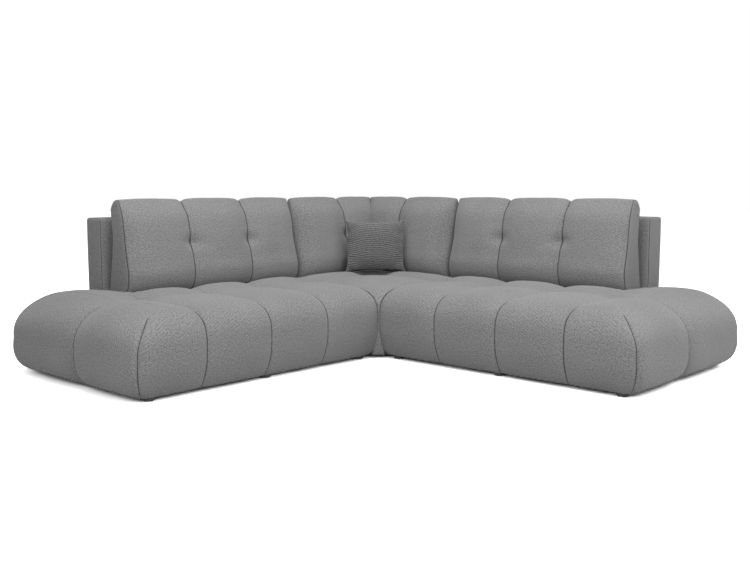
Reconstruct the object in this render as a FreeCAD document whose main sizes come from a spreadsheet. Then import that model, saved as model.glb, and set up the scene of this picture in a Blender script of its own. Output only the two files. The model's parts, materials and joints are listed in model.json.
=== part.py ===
import FreeCAD, Part
import Sketcher
import math
import os
import re

from FreeCAD import Vector

# Corner sofa: two equal wings and a square corner, with loose back cushions and a throw pillow.
# Millimetres. The row frame has its origin on the floor under the middle of the sofa's box, the
# corner of the sofa at -X +Y, the right wing along +X at the back and the left wing along -Y.
# Below, u runs along a wing from the outer corner, v runs from the rear of the back to the front.

SIZES = {
    # Seat outline, from the outer corner of the two backs
    "seat_depth": 1179,          # rear plane to the belly of the front roll, at a seam
    "cell_width": 396,           # one tufted cell along a wing
    "cells_per_wing": 4,         # cells between the corner and the free end
    "roll_crown": 14,            # how far a cell's middle swells past its seams
    "row_line": 634,             # depth of the line between the two rows of cells
    "floor_gap": 22,             # fabric bottom above the floor, which is the glide's height
    "seat_height": 400,          # top of the seat at the seams
    "seam_crown": 5,             # rise of a seam between its two ends
    "cell_crown": 27,            # further rise at a cell's middle
    "shoulder_crown": 14,        # rise of the roll's shoulder at a cell's middle
    "valley_crown": 12,          # rise of the row line between two tufts
    "rear_crown": 18,            # rise of the rear row in front of the back cushions
    "rest_margin": 60,           # the seat is flat up to here in front of a cushion's foot
    "rest_drop": 3,              # and lies this much below the seat height
    "corner_rear_share": 0.7,    # crown of the corner's rear cells against a wing's
    "roll_height": 235,          # height of the front roll's belly
    "hem_inset": 69,             # bottom hem behind the belly
    "shoulder_inset": 98,        # top of the roll behind the belly
    "rear_hem_inset": 85,
    "rear_roll_height": 200,
    "rear_shoulder": 70,
    "corner_relief": 2,          # the inner corner stays this far inside the rolls' belly
    # Free end of a wing
    "end_hem_inset": 61,
    "end_roll_height": 225,
    "end_turn": 51,              # inset and rise of the tighter lower turn of the end roll
    "end_turn_rise": 105,
    "end_shoulder": 180,         # inset of the end roll's soft shoulder
    "end_drop": 6,               # the shoulder lies this much under the seat height at a seam
    "open_row_depth": 330,       # crest of the rear row in the cell that has no back
    "open_row_crown": 18,
    "open_rear_drop": 12,        # drop of its rear shoulder
    # Wooden frames inside the seat
    "frame_back": 110,           # rear plane to the frame
    "hem_wall": 30,              # frame behind the hem
    "joint_skin": 15,            # upholstery over a wing's frame where it meets the corner
    "rail_thick": 25,
    "rail_height": 160,
    "cross_rail_height": 110,
    "block_leg": 70,
    "block_height": 90,
    "dust_cover_thick": 3,
    "pad_top_wall": 55,          # quilted top over the foam core
    "spring_wire": 4,
    "spring_reach": 18,          # straight part of a zigzag bar on each side of its axis
    "spring_pitch": 46,
    "springs_per_wing": 6,
    "springs_in_corner": 4,
    "clip_width": 24,
    "clip_length": 18,
    # Glides and their screws
    "glide_radius": 30,
    "glide_foot_radius": 26,
    "glide_edge": 5,
    "glide_inset": 40,           # glide centre from the frame's ends
    "screw_radius": 2,
    "screw_head_radius": 5,
    "screw_head_height": 3,
    "screw_recess": 4,
    "screw_bite": 25,            # into the rail
    # Back panels
    "back_thick": 152,
    "back_rise": 405,            # top of a back above the seat under it
    "back_setback": 74,          # end of a wing's back to the last seam of its seat
    "back_round": 22,
    "board_thick": 18,
    "board_margin": 40,          # board to the panel's outline
    "board_rear": 84,
    "post_thick": 8,
    "post_width": 40,
    "post_foot": 35,             # post's lower end above the underside of the rail
    "post_rise": 243,            # post's upper end above the seat
    "post_inset": 210,           # post to the end of its panel
    "bolt_radius": 4,
    "bolt_head_radius": 7,
    "bolt_head_height": 5,
    "bolt_low": 65,              # the two bolts in the rail, above its underside
    "bolt_mid": 125,
    "bolt_high": 83,             # the two bolts in the board, above the seat
    "bolt_top": 203,
    # Steel plates under the joints between modules
    "plate_length": 220,
    "plate_width": 40,
    "plate_thick": 3,
    "plate_inset": 250,
    "plate_hole_radius": 4,
    "plate_hole_inset": 30,
    # Back cushions: depths from the front of the back, heights from the seat under them
    "long_channels": 3,
    "corner_channels": 2,
    "corner_cushion_inset": 24.3,  # start of a corner cushion in front of the other wing's back
    "cushion_end_inset": 15.7,   # end of a long cushion to the end of the back
    "cushion_gap": 3,            # between a corner cushion and a long one
    "seat_clearance": 0.3,       # between a loose piece and what it rests on
    "mitre_clearance": 1,        # between the two corner cushions
    "foot_depth": 188,           # front of a cushion at its foot
    "belly_depth": 239,
    "belly_height": 103,
    "tuft_depth": 186,
    "tuft_height": 271,
    "brow_depth": 178,           # front of the upper channel
    "brow_height": 418,
    "crest_depth": 116,
    "crest_height": 495,
    "foot_swell": 10,            # swells at a channel's middle
    "belly_swell": 34,
    "tuft_swell": 44,
    "brow_swell": 28,
    "crest_swell": 8,
    "crest_rise": 13,
    "foot_end_swell": 34,        # swells at a cushion's flat end
    "belly_end_swell": 8,
    "tuft_end_swell": 34,
    "brow_end_swell": 13,
    "crest_end_swell": 8,
    "upper_bulge": 8,            # bulge of the front between the tuft and the brow
    "brow_round": 16,            # how far the round from brow to crest stands back at its middle
    "brow_lift": 13,
    "crest_drop": 13,            # rear of the crest below its front
    "crest_crown": 4,
    "rear_waist": 61,            # rear of a cushion at its tufts and its top
    "rear_foot": 8,
    "rear_round": 8,
    "gusset_draw": 8,            # how far a cushion's ends are drawn in
    "core_rear": 80,
    "core_front": 164,
    "core_foot": 43,
    "core_top": 403,
    "core_margin": 40,
    "zip_length": 420,
    "zip_width": 8,
    "zip_thick": 3,
    "zip_depth": 48,
    # Throw pillow, standing in the corner
    "pillow_width": 392,
    "pillow_waist": 368,
    "pillow_height": 352,
    "pillow_thick": 118,
    "pillow_brow": 96,
    "pillow_edge": 14,           # thickness at its sides
    "pillow_hem": 17,            # thickness at its top and bottom
    "pillow_shoulder": 59,       # height of its fuller part above its foot
    "pillow_lean": 10,           # degrees
    "settle_limit": 0.05,        # the pillow is let down until this much is left
    "pillow_core_width": 300,
    "pillow_core_height": 240,
    "pillow_core_thick": 50,
}

HALF = "((seat_depth + cells_per_wing * cell_width + roll_crown) / 2)"
WING_END = "(seat_depth + cells_per_wing * cell_width)"
LAST_CELL = "(seat_depth + (cells_per_wing - 1) * cell_width)"
HEM = "(seat_depth - hem_inset)"
REST = "(seat_height - rest_drop)"
FRAME_FRONT = "(seat_depth - hem_inset - hem_wall)"
FRAME_END = f"({WING_END} - end_hem_inset - hem_wall)"
FRAME_JOINT = "(seat_depth + joint_skin)"
RAIL_BOTTOM = "(floor_gap + dust_cover_thick)"
RAIL_TOP = f"({RAIL_BOTTOM} + rail_height)"
CORE_BOTTOM = f"({RAIL_TOP} + spring_wire)"
CORE_TOP = "(seat_height - pad_top_wall)"
BOARD_FRONT = "(board_rear + board_thick)"
POST_FRONT = f"({BOARD_FRONT} + post_thick)"
LOOSE_FOOT = f"({REST} + seat_clearance)"
REST_FRONT = "(back_thick + foot_depth + rest_margin)"
BACK_TOP = f"({REST} + back_rise)"
BACK_END = f"({LAST_CELL} - back_setback)"
CORNER_START = "(back_thick + corner_cushion_inset)"
LONG_END = f"({BACK_END} - cushion_end_inset)"
CHANNEL = f"(({LONG_END} - {CORNER_START} - cushion_gap) / (long_channels + corner_channels))"
CORNER_END = f"({CORNER_START} + corner_channels * {CHANNEL})"
LONG_START = f"({CORNER_END} + cushion_gap)"
POST_FOOT = f"({RAIL_BOTTOM} + post_foot)"
POST_TOP = f"({REST} + post_rise)"
RAIL_BOLTS = [f"({RAIL_BOTTOM} + bolt_low)", f"({RAIL_BOTTOM} + bolt_mid)"]
BOARD_BOLTS = [f"({REST} + bolt_high)", f"({REST} + bolt_top)"]

doc = FreeCAD.newDocument("corner_sofa")
sheet = doc.addObject("Spreadsheet::Sheet", "Sizes")
for row, (alias, number) in enumerate(SIZES.items(), 1):
    sheet.set(f"A{row}", alias)
    sheet.set(f"B{row}", str(number))
    sheet.setAlias(f"B{row}", alias)
doc.recompute()

NODES = []


def bound(text):
    """Point each size's name in an expression at its cell in the sheet."""
    return re.sub(r"[a-z_]+", lambda word: "Sizes." + word[0] if word[0] in SIZES else word[0], text)


def value(text):
    """Work an expression out as a number."""
    return float(sheet.evalExpression(bound(text)))


def node(item, name):
    """Name an object as a sub-part that is written to its own file."""
    item.Label = name
    NODES.append(item)
    return item


def place(item, u, v, z):
    """Bind an object's place to expressions in u, v and height."""
    item.setExpression("Placement.Base.x", bound(f"({u}) - {HALF}"))
    item.setExpression("Placement.Base.y", bound(f"{HALF} - ({v})"))
    item.setExpression("Placement.Base.z", bound(z))


def box(name, u, v, z):
    """Box between two limits along u, v and height."""
    item = doc.addObject("Part::Box", name)
    item.setExpression("Length", bound(f"({u[1]}) - ({u[0]})"))
    item.setExpression("Width", bound(f"({v[1]}) - ({v[0]})"))
    item.setExpression("Height", bound(f"({z[1]}) - ({z[0]})"))
    place(item, u[0], v[1], z[0])
    return item


def rod(name, u, v, z, radius, length, along_depth=False):
    """Cylinder standing up from a point, or lying towards the front."""
    item = doc.addObject("Part::Cylinder", name)
    item.setExpression("Radius", bound(radius))
    item.setExpression("Height", bound(length))
    if along_depth:
        item.Placement.Rotation = FreeCAD.Rotation(Vector(1, 0, 0), 90)
    place(item, u, v, z)
    return item


def group(name, items):
    """Several solids kept apart in one object."""
    item = doc.addObject("Part::Compound", name)
    item.Links = items
    return item


def cut(name, base, tool):
    """One object less another."""
    item = doc.addObject("Part::Cut", name)
    item.Base = base
    item.Tool = tool
    return item


def mirrored(name, source):
    """The same piece on the other wing, across the sofa's diagonal."""
    item = doc.addObject("Part::Mirroring", name)
    item.Source = source
    item.Normal = Vector(1, 1, 0).normalize()
    return item


def solid_feature(name, shape):
    """Object that holds a shape worked out in code."""
    item = doc.addObject("Part::Feature", name)
    item.Shape = shape
    return item


def both_wings(name, item):
    """Export a right-hand piece and its left-hand twin."""
    node(item, "right_" + name)
    node(mirrored("left_" + name, item), "left_" + name)


# Outlines and lofts

def at(u, v, z):
    """Point of the row frame from u, v and height."""
    half = value(HALF)
    return Vector(u - half, half - v, z)


def closed_wire(start, steps, placed):
    """Closed wire of lines (one point) and arcs (a middle and an end point)."""
    edges = []
    here = start
    closing = [] if steps[-1][-1] == start else [(start,)]
    for step in steps + closing:
        if len(step) == 1:
            edges.append(Part.LineSegment(placed(here), placed(step[0])).toShape())
        else:
            edges.append(Part.Arc(placed(here), placed(step[0]), placed(step[1])).toShape())
        here = step[-1]
    return Part.Wire(edges)


def belly_arc(belly, other, from_belly):
    """Arc that is upright at the belly point, given as its middle and its end."""
    across = belly[0] - other[0]
    rise = other[1] - belly[1]
    radius = (across ** 2 + rise ** 2) / (2 * across)
    centre = (belly[0] - radius, belly[1])
    middle = Vector(belly[0] + other[0] - 2 * centre[0], rise, 0).normalize() * abs(radius)
    return (centre[0] + middle.x, centre[1] + middle.y), (other if from_belly else belly)


def swell(first, last, rise):
    """Arc over a chord, given as its middle and its end."""
    return ((first[0] + last[0]) / 2, (first[1] + last[1]) / 2 + rise), last


def loft(wires):
    """Smooth solid through sections."""
    return Part.makeLoft(wires, True, False)


def joined(solids):
    """Solids that share whole faces, as one."""
    whole = solids[0]
    for other in solids[1:]:
        whole = whole.fuse(other)
    return whole


# Upholstered seat

def seat_rear(top):
    """Rear roll from the rear end of the seat's top down to the hem."""
    belly = (0, value("rear_roll_height"))
    hem = (value("rear_hem_inset"), value("floor_gap"))
    return [belly_arc(belly, top, False), belly_arc(belly, hem, True)]


def seat_section(u, crown, open_row):
    """Section of a wing's seat: crown is 0 at a seam and 1 at a cell's middle."""
    height = value("seat_height")
    belly = (value("seat_depth") + crown * value("roll_crown"), value("roll_height"))
    hem = (value(HEM), value("floor_gap"))
    shoulder = (belly[0] - value("shoulder_inset"), height + crown * value("shoulder_crown"))
    row = (value("row_line"), height + crown * value("valley_crown"))
    if open_row:
        rest = (value("open_row_depth"), height + value("open_row_crown"))
        rear = (value("rear_shoulder"), value(REST) - value("open_rear_drop"))
        rear_step = swell(rest, rear, value("seam_crown"))
        rear_rise = value("seam_crown")
    else:
        rest = (value(REST_FRONT), value(REST))
        rear = (value("rear_shoulder"), value(REST))
        rear_step = (rear,)
        rear_rise = value("seam_crown") / 2 + crown * value("rear_crown")
    steps = [
        belly_arc(belly, hem, False),
        belly_arc(belly, shoulder, True),
        swell(shoulder, row, value("seam_crown") + crown * value("cell_crown") / 2),
        swell(row, rest, rear_rise),
        rear_step,
    ]
    return closed_wire(hem, steps + seat_rear(rear), lambda point: at(u, *point))


def end_section(v, crown):
    """Section along a wing through its free end: everything inside the end roll."""
    end = value(WING_END) + crown * value("roll_crown")
    inner = value(LAST_CELL) - value("end_shoulder")
    belly = (end, value("end_roll_height"))
    hem = (value(WING_END) - value("end_hem_inset"), value("floor_gap"))
    turn = (end - value("end_turn"), value("end_roll_height") + value("end_turn_rise"))
    height = value("seat_height") - value("end_drop") + crown * value("cell_crown")
    shoulder = (end - value("end_shoulder"), height)
    lift = (shoulder[0] - value("end_shoulder"), height + value("end_turn"))
    steps = [
        belly_arc(belly, hem, False),
        belly_arc(belly, turn, True),
        swell(turn, shoulder, value("end_drop") + value("seam_crown")),
        (lift,),
        ((inner, lift[1]),),
        ((inner, value("floor_gap")),),
    ]
    return closed_wire(hem, steps, lambda point: at(point[0], v, point[1]))


def prism(wire, shift):
    """Straight solid on a closed wire."""
    return Part.Face(wire).extrude(shift)


def wing_form():
    """Outer form of a wing's seat: three plain cells and the end cell inside its end roll."""
    width = value("cell_width")
    start = value("seat_depth")
    cells = []
    for number in range(int(value("cells_per_wing")) - 1):
        near = start + number * width
        sections = [(near, 0), (near + width / 2, 1), (near + width, 0)]
        cells.append(loft([seat_section(u, crown, False) for u, crown in sections]))
    near = value(LAST_CELL)
    far = value(WING_END)
    overrun = value("end_shoulder") / 2
    end_cell = loft([seat_section(near, 0, False), seat_section(near + width / 2, 1, True),
                     seat_section(far + overrun, 0, True)])
    row = value("row_line")
    depth = value("seat_depth")
    rear_roll = loft([end_section(v, crown) for v, crown in [(0, 0), (row / 2, 1), (row, 0)]])
    front_roll = loft([end_section(v, crown)
                       for v, crown in [(row, 0), ((row + depth) / 2, 1), (depth, 0)]])
    behind = prism(end_section(-overrun, 0), Vector(0, -overrun, 0))
    before = prism(end_section(depth, 0), Vector(0, -overrun, 0))
    inside = joined([behind, rear_roll, front_roll, before])
    cells.append(end_cell.common(inside))
    return joined(cells)


def corner_section(u, crown, flat):
    """Section of the corner's seat, which ends in upright faces against the wings."""
    height = value("seat_height")
    depth = value("seat_depth")
    hem = (depth, value("floor_gap"))
    front = (depth, height)
    rest = (value(REST_FRONT), value(REST))
    rear = (value("rear_shoulder"), value(REST))
    row = (value("row_line"), height + crown * value("valley_crown"))
    front_rise = value("seam_crown") + crown * value("cell_crown")
    rear_rise = value("seam_crown") / 2 + crown * value("rear_crown")
    steps = [(front,), swell(front, row, front_rise), swell(row, rest, rear_rise), (rear,)]
    if flat:
        steps = [((depth, rest[1]),), ((row[0], rest[1]),), (rest,), (rear,)]
    return closed_wire(hem, steps + seat_rear(rear), lambda point: at(u, *point))


def side_section():
    """Everything inside the rear roll of the corner's outer side."""
    high = value("seat_height") + value("end_shoulder")
    hem = (value("rear_hem_inset"), value("floor_gap"))
    belly = (0, value("rear_roll_height"))
    rear = (value("rear_shoulder"), value(REST))
    top = (value(REST_FRONT), high)
    steps = [
        belly_arc(belly, hem, False),
        belly_arc(belly, rear, True),
        (top,),
        ((value("seat_depth"), high),),
        ((value("seat_depth"), value("floor_gap")),),
    ]
    return closed_wire(hem, steps, lambda point: at(point[0], 0, point[1]))


def beyond_roll(along_u):
    """Space in front of a wing's roll, carried on past the inner corner."""
    margin = value("end_shoulder")
    depth = value("seat_depth")
    low = (value(HEM), value("floor_gap") - margin)
    hem = (value(HEM), value("floor_gap"))
    belly = (depth - value("corner_relief"), value("roll_height"))
    shoulder = (depth - value("shoulder_inset"), value("seat_height"))
    high = (shoulder[0], value("seat_height") + margin)
    steps = [(hem,), belly_arc(belly, hem, False), belly_arc(belly, shoulder, True), (high,),
             ((depth + margin, high[1]),), ((depth + margin, low[1]),)]
    near = depth - margin
    if along_u:
        wire = closed_wire(low, steps, lambda point: at(near, *point))
        return prism(wire, Vector(2 * margin, 0, 0))
    wire = closed_wire(low, steps, lambda point: at(point[0], near, point[1]))
    return prism(wire, Vector(0, -2 * margin, 0))


def corner_form():
    """Outer form of the corner's seat: flat under the cushions, four tufted cells in front."""
    rest = value(REST_FRONT)
    row = value("row_line")
    depth = value("seat_depth")
    share = value("corner_rear_share")
    flat = prism(corner_section(0, 0, True), Vector(rest, 0, 0))
    rear = loft([corner_section(rest, 0, True), corner_section((rest + row) / 2, share, False),
                 corner_section(row, 0, False)])
    front = loft([corner_section(u, crown, False)
                  for u, crown in [(row, 0), ((row + depth) / 2, 1), (depth, 0)]])
    side = prism(side_section(), Vector(0, -depth, 0))
    whole = joined([flat, rear, front]).common(side)
    return whole.cut(beyond_roll(True).common(beyond_roll(False)))


# Wooden frames, springs and foam

WING_U = (FRAME_JOINT, FRAME_END)
CORNER_U = ("frame_back", FRAME_FRONT)
DEPTH_V = ("frame_back", FRAME_FRONT)
INNER_V = ("frame_back + rail_thick", f"{FRAME_FRONT} - rail_thick")


def spread(span, number, count):
    """Middle of one of several equal shares of a span, as an expression."""
    return f"({span[0]} + ({number} + 0.5) * ({span[1]} - {span[0]}) / {count})"


def zigzag(u):
    """Path of a zigzag spring from the rear rail to the front rail, at one u."""
    start = value(INNER_V[0])
    span = value(INNER_V[1]) - start
    height = value(RAIL_TOP) + value("spring_wire") / 2
    pitch = value("spring_pitch")
    reach = value("spring_reach")
    radius = pitch / 2
    bars = int(span // pitch) - 1
    first = start + (span - (bars - 1) * pitch) / 2
    turn = radius * math.sqrt(0.5)
    edges = []

    def line(a, b):
        edges.append(Part.LineSegment(at(u + a[0], a[1], height), at(u + b[0], b[1], height)).toShape())

    def arc(a, b, c):
        edges.append(Part.Arc(*[at(u + p[0], p[1], height) for p in (a, b, c)]).toShape())

    line((0, start), (0, first - radius))
    arc((0, first - radius), (radius - turn, first - radius + turn), (radius, first))
    side = 1
    for bar in range(bars):
        v = first + bar * pitch
        begin = radius if bar == 0 else -side * reach
        finish = -side * radius if bar == bars - 1 else side * reach
        if abs(begin - finish) > 0.001:
            line((begin, v), (finish, v))
        if bar < bars - 1:
            arc((finish, v), (finish + side * radius, v + radius), (finish, v + pitch))
            side = -side
    last = first + (bars - 1) * pitch
    bend = -side * (radius - turn)
    arc((-side * radius, last), (bend, last + radius - turn), (0, last + radius))
    line((0, last + radius), (0, start + span))
    return Part.Wire(edges)


def spring_shape(u):
    """One zigzag spring of round wire."""
    path = zigzag(u)
    start = at(u, value(INNER_V[0]), value(RAIL_TOP) + value("spring_wire") / 2)
    ring = Part.Wire(Part.makeCircle(value("spring_wire") / 2, start, Vector(0, -1, 0)))
    return path.makePipeShell([ring], True, False)


def springs(name, span, count):
    """All the springs of one module."""
    number = int(value(count))
    places = [value(spread(span, index, count)) for index in range(number)]
    return solid_feature(name, Part.makeCompound([spring_shape(u) for u in places]))


def clips(name, span, count):
    """A clip on the rails at both ends of each spring."""
    items = []
    height = (RAIL_TOP, CORE_BOTTOM)
    for index in range(int(value(count))):
        middle = spread(span, index, count)
        width = (f"{middle} - clip_width / 2", f"{middle} + clip_width / 2")
        rear = (f"{INNER_V[0]} - clip_length", INNER_V[0])
        front = (INNER_V[1], f"{INNER_V[1]} + clip_length")
        items.append(box(f"{name}_rear_{index}", width, rear, height))
        items.append(box(f"{name}_front_{index}", width, front, height))
    return group(name, items)


def corner_blocks(name, span):
    """Four three-cornered glue blocks inside a module's frame."""
    near_u = f"{span[0]} + rail_thick"
    far_u = f"{span[1]} - rail_thick"
    places = [(near_u, INNER_V[1], 0), (far_u, INNER_V[1], 90), (far_u, INNER_V[0], 180),
              (near_u, INNER_V[0], 270)]
    items = []
    for u, v, angle in places:
        item = doc.addObject("Part::Wedge", f"{name}_{angle}")
        for edge in ("Xmin", "Ymin", "Zmin", "X2min", "Z2min", "X2max"):
            setattr(item, edge, 0)
        for edge in ("Xmax", "Ymax"):
            item.setExpression(edge, "Sizes.block_leg")
        for edge in ("Zmax", "Z2max"):
            item.setExpression(edge, "Sizes.block_height")
        item.Placement.Rotation = FreeCAD.Rotation(Vector(0, 0, 1), angle)
        place(item, u, v, RAIL_BOTTOM)
        items.append(item)
    return group(name, items)


def plane_of(body, role):
    """One of a body's own origin planes."""
    return next(item for item in body.Origin.OriginFeatures if item.Role == role)


def outline_sketch(body, name, role, corners):
    """Closed sketch of straight lines whose corners are bound to expressions."""
    sketch = body.newObject("Sketcher::SketchObject", name)
    sketch.AttachmentSupport = (plane_of(body, role), "")
    sketch.MapMode = "FlatFace"
    points = [Vector(value(x), value(y), 0) for x, y in corners]
    count = len(points)
    for index in range(count):
        sketch.addGeometry(Part.LineSegment(points[index], points[(index + 1) % count]), False)
    for index in range(count):
        sketch.addConstraint(Sketcher.Constraint("Coincident", index, 2, (index + 1) % count, 1))
    for index, (x, y) in enumerate(corners):
        for kind, axis, text, number in (("DistanceX", -2, x, points[index].x),
                                         ("DistanceY", -1, y, points[index].y)):
            if text == "0":
                sketch.addConstraint(Sketcher.Constraint("PointOnObject", index, 1, axis))
            else:
                place_in = sketch.addConstraint(Sketcher.Constraint(kind, -1, 1, index, 1, number))
                sketch.setExpression(f"Constraints[{place_in}]", bound(text))
    return sketch


def hole_sketch(body, name, role, centres, radius):
    """Sketch of round holes whose centres and radius are bound to expressions."""
    sketch = body.newObject("Sketcher::SketchObject", name)
    sketch.AttachmentSupport = (plane_of(body, role), "")
    sketch.MapMode = "FlatFace"
    for index, (x, y) in enumerate(centres):
        centre = Vector(value(x), value(y), 0)
        sketch.addGeometry(Part.Circle(centre, Vector(0, 0, 1), value(radius)), False)
        for kind, text, number in (("DistanceX", x, centre.x), ("DistanceY", y, centre.y)):
            place_in = sketch.addConstraint(Sketcher.Constraint(kind, -1, 1, index, 3, number))
            sketch.setExpression(f"Constraints[{place_in}]", bound(text))
        place_in = sketch.addConstraint(Sketcher.Constraint("Radius", index, value(radius)))
        sketch.setExpression(f"Constraints[{place_in}]", bound(radius))
    return sketch


def pad_and_holes(name, role, corners, thickness, centres, radius):
    """Flat plate with round holes, as a body."""
    body = doc.addObject("PartDesign::Body", name)
    pad = body.newObject("PartDesign::Pad", name + "_plate")
    pad.Profile = outline_sketch(body, name + "_outline", role, corners)
    pad.setExpression("Length", bound(thickness))
    doc.recompute()
    full = pad.Shape.Volume
    pocket = body.newObject("PartDesign::Pocket", name + "_holes")
    pocket.Profile = hole_sketch(body, name + "_hole_places", role, centres, radius)
    pocket.Type = "ThroughAll"
    pocket.Midplane = True
    doc.recompute()
    if pocket.Shape.Volume >= full:
        raise RuntimeError(f"{name}: the holes cut nothing")
    return body


def glide(name, u, v):
    """Plastic glide, turned, with a counterbored hole for its screw."""
    body = doc.addObject("PartDesign::Body", name)
    turned = body.newObject("PartDesign::Revolution", name + "_turned")
    head_top = "(screw_recess + screw_head_height)"
    turned.Profile = outline_sketch(body, name + "_profile", "XZ_Plane", [
        ("screw_head_radius", "0"), ("glide_foot_radius", "0"), ("glide_radius", "glide_edge"),
        ("glide_radius", "floor_gap"), ("screw_radius", "floor_gap"), ("screw_radius", head_top),
        ("screw_head_radius", head_top)])
    turned.ReferenceAxis = (turned.Profile[0], ["V_Axis"])
    turned.Angle = 360
    place(body, u, v, "0")
    return body


def glide_screw(name, u, v):
    """Screw up through a glide and the dust cover into the rail."""
    head = rod(name + "_head", u, v, "screw_recess", "screw_head_radius", "screw_head_height")
    neck = "screw_recess + screw_head_height"
    shank = rod(name + "_shank", u, v, neck, "screw_radius", f"{RAIL_BOTTOM} + screw_bite - ({neck})")
    screw = doc.addObject("Part::Fuse", name)
    screw.Base = head
    screw.Tool = shank
    return screw


def glides_and_screws(name, places):
    """The glides of one module and their screws."""
    feet = group(name + "_glides", [glide(f"{name}_glide_{i}", u, v) for i, (u, v) in enumerate(places)])
    screws = group(name + "_screws", [glide_screw(f"{name}_screw_{i}", u, v)
                                      for i, (u, v) in enumerate(places)])
    return feet, screws


# Back panels, their boards, posts and bolts

def post(name, u):
    """Flat steel bar that carries a back panel on the rear rail of the frame."""
    body = pad_and_holes(
        name, "XZ_Plane",
        [("0", "0"), ("post_width", "0"), ("post_width", f"{POST_TOP} - {POST_FOOT}"),
         ("0", f"{POST_TOP} - {POST_FOOT}")],
        "post_thick",
        [("post_width / 2", f"{height} - {POST_FOOT}") for height in RAIL_BOLTS + BOARD_BOLTS],
        "bolt_radius")
    place(body, f"{u} - post_width / 2", BOARD_FRONT, POST_FOOT)
    return body


def post_bolts(name, u):
    """Two bolts through the frame's rail into a post, and two through the post into the board."""
    items = [(height, BOARD_FRONT, INNER_V[0]) for height in RAIL_BOLTS]
    items += [(height, "board_rear", POST_FRONT) for height in BOARD_BOLTS]
    bolts = []
    for index, (height, rear, front) in enumerate(items):
        shank = rod(f"{name}_shank_{index}", u, rear, height, "bolt_radius", f"{front} - {rear}", True)
        head = rod(f"{name}_head_{index}", u, front, height, "bolt_head_radius",
                   "bolt_head_height", True)
        bolt = doc.addObject("Part::Fuse", f"{name}_{index}")
        bolt.Base = shank
        bolt.Tool = head
        bolts.append(bolt)
    return bolts


def back_panel(name, u, v, board_u, tools):
    """Upholstered slab with softened edges, hollow for its board, its posts and their bolts."""
    slab = box(name + "_slab", u, v, (REST, BACK_TOP))
    soft = doc.addObject("Part::Fillet", name + "_soft")
    soft.Base = slab
    doc.recompute()
    radius = value("back_round")
    soft.Edges = [(number, radius, radius) for number in range(1, 13)]
    board_v = ("board_rear", BOARD_FRONT)
    board_z = (f"{REST} + board_margin", f"{BACK_TOP} - board_margin")
    room = box(name + "_board_room", board_u, board_v, board_z)
    panel = cut(name + "_panel", soft, group(name + "_room", [room] + tools))
    board = cut(name + "_board", box(name + "_sheet", board_u, board_v, board_z), group(
        name + "_board_holes", tools[-1:]))
    return panel, board


# Loose cushions

def front_point(name, kind):
    """Point of a back cushion's front, at a seam, at a channel's middle or at its flat end."""
    depth = value("back_thick") + value(name + "_depth")
    swells = {"seam": 0, "crown": value(name + "_swell"), "end": value(name + "_end_swell")}
    height = value(LOOSE_FOOT) if name == "foot" else value(REST) + value(name + "_height")
    rise = value("crest_rise") if name == "crest" and kind == "crown" else 0
    return depth + swells[kind], height + rise


def cushion_section(u, kind):
    """Section of a back cushion across its length."""
    foot, belly, tuft, brow, crest = [front_point(name, kind)
                                      for name in ("foot", "belly", "tuft", "brow", "crest")]
    bulge = max(tuft[0], brow[0]) + value("upper_bulge")
    waist = value("back_thick") + value("rear_waist")
    rear = value("back_thick") + value("rear_foot")
    steps = [
        belly_arc(belly, foot, False),
        belly_arc(belly, tuft, True),
        ((bulge, (tuft[1] + brow[1]) / 2), brow),
        ((brow[0] - value("brow_round"), (brow[1] + crest[1]) / 2 + value("brow_lift")), crest),
        swell(crest, (waist, crest[1] - value("crest_drop")), value("crest_crown")),
        ((waist, tuft[1]),),
        ((rear + value("rear_round"), belly[1]), (rear, foot[1])),
    ]
    return closed_wire(foot, steps, lambda point: at(u, *point))


def cushion_form(start, channels):
    """Outer form of a channelled back cushion with its two ends drawn in between their corners."""
    width = value(CHANNEL)
    kinds = ["end"] + ["seam"] * (channels - 1) + ["end"]
    cells = []
    for index in range(channels):
        near = start + index * width
        cells.append(loft([cushion_section(near, kinds[index]),
                           cushion_section(near + width / 2, "crown"),
                           cushion_section(near + width, kinds[index + 1])]))
    draw = value("gusset_draw")
    low = value(LOOSE_FOOT) - draw
    high = value(REST) + value("crest_height") + value("crest_rise") + draw
    end = start + channels * width
    middle = (low + high) / 2
    steps = [((end, low),), ((end - draw, middle), (end, high)), ((start, high),),
             ((start + draw, middle), (start, low))]
    outline = closed_wire((start, low), steps, lambda point: at(point[0], 0, point[1]))
    return joined(cells).common(prism(outline, Vector(0, -value("seat_depth"), 0)))


def zip_box(name, span):
    """Zip strip let into a cushion's underside."""
    middle = f"({span[0]} + {span[1]}) / 2"
    rear = "back_thick + zip_depth"
    return box(name, (f"{middle} - zip_length / 2", f"{middle} + zip_length / 2"),
               (rear, f"{rear} + zip_width"), (LOOSE_FOOT, f"{LOOSE_FOOT} + zip_thick"))


def cushion(name, form, span, core_start):
    """Cover, core and zip of one back cushion."""
    core_u = (core_start, f"{span[1]} - core_margin")
    core_v = ("back_thick + core_rear", "back_thick + core_front")
    core = box("right_" + name + "_core", core_u, core_v, (f"{REST} + core_foot", f"{REST} + core_top"))
    strip = zip_box("right_" + name + "_zip", (core_start, span[1]))
    whole = solid_feature("right_" + name + "_form", form)
    cover = cut("right_" + name + "_cover", whole, group("right_" + name + "_room", [core, strip]))
    both_wings(name + "_cover", cover)
    both_wings(name + "_core", core)
    both_wings(name + "_zip", strip)


def mitre(form):
    """Cut the corner cushion off at the diagonal, short of its neighbour."""
    clear = value("mitre_clearance") / math.sqrt(2)
    low = -value("seat_depth")
    far = value("seat_depth")
    corners = [at(low, low - clear, 0), at(far, far - clear, 0), at(low, far - clear, 0)]
    tool = prism(Part.makePolygon(corners + corners[:1]), Vector(0, 0, far))
    return form.cut(tool)


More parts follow.
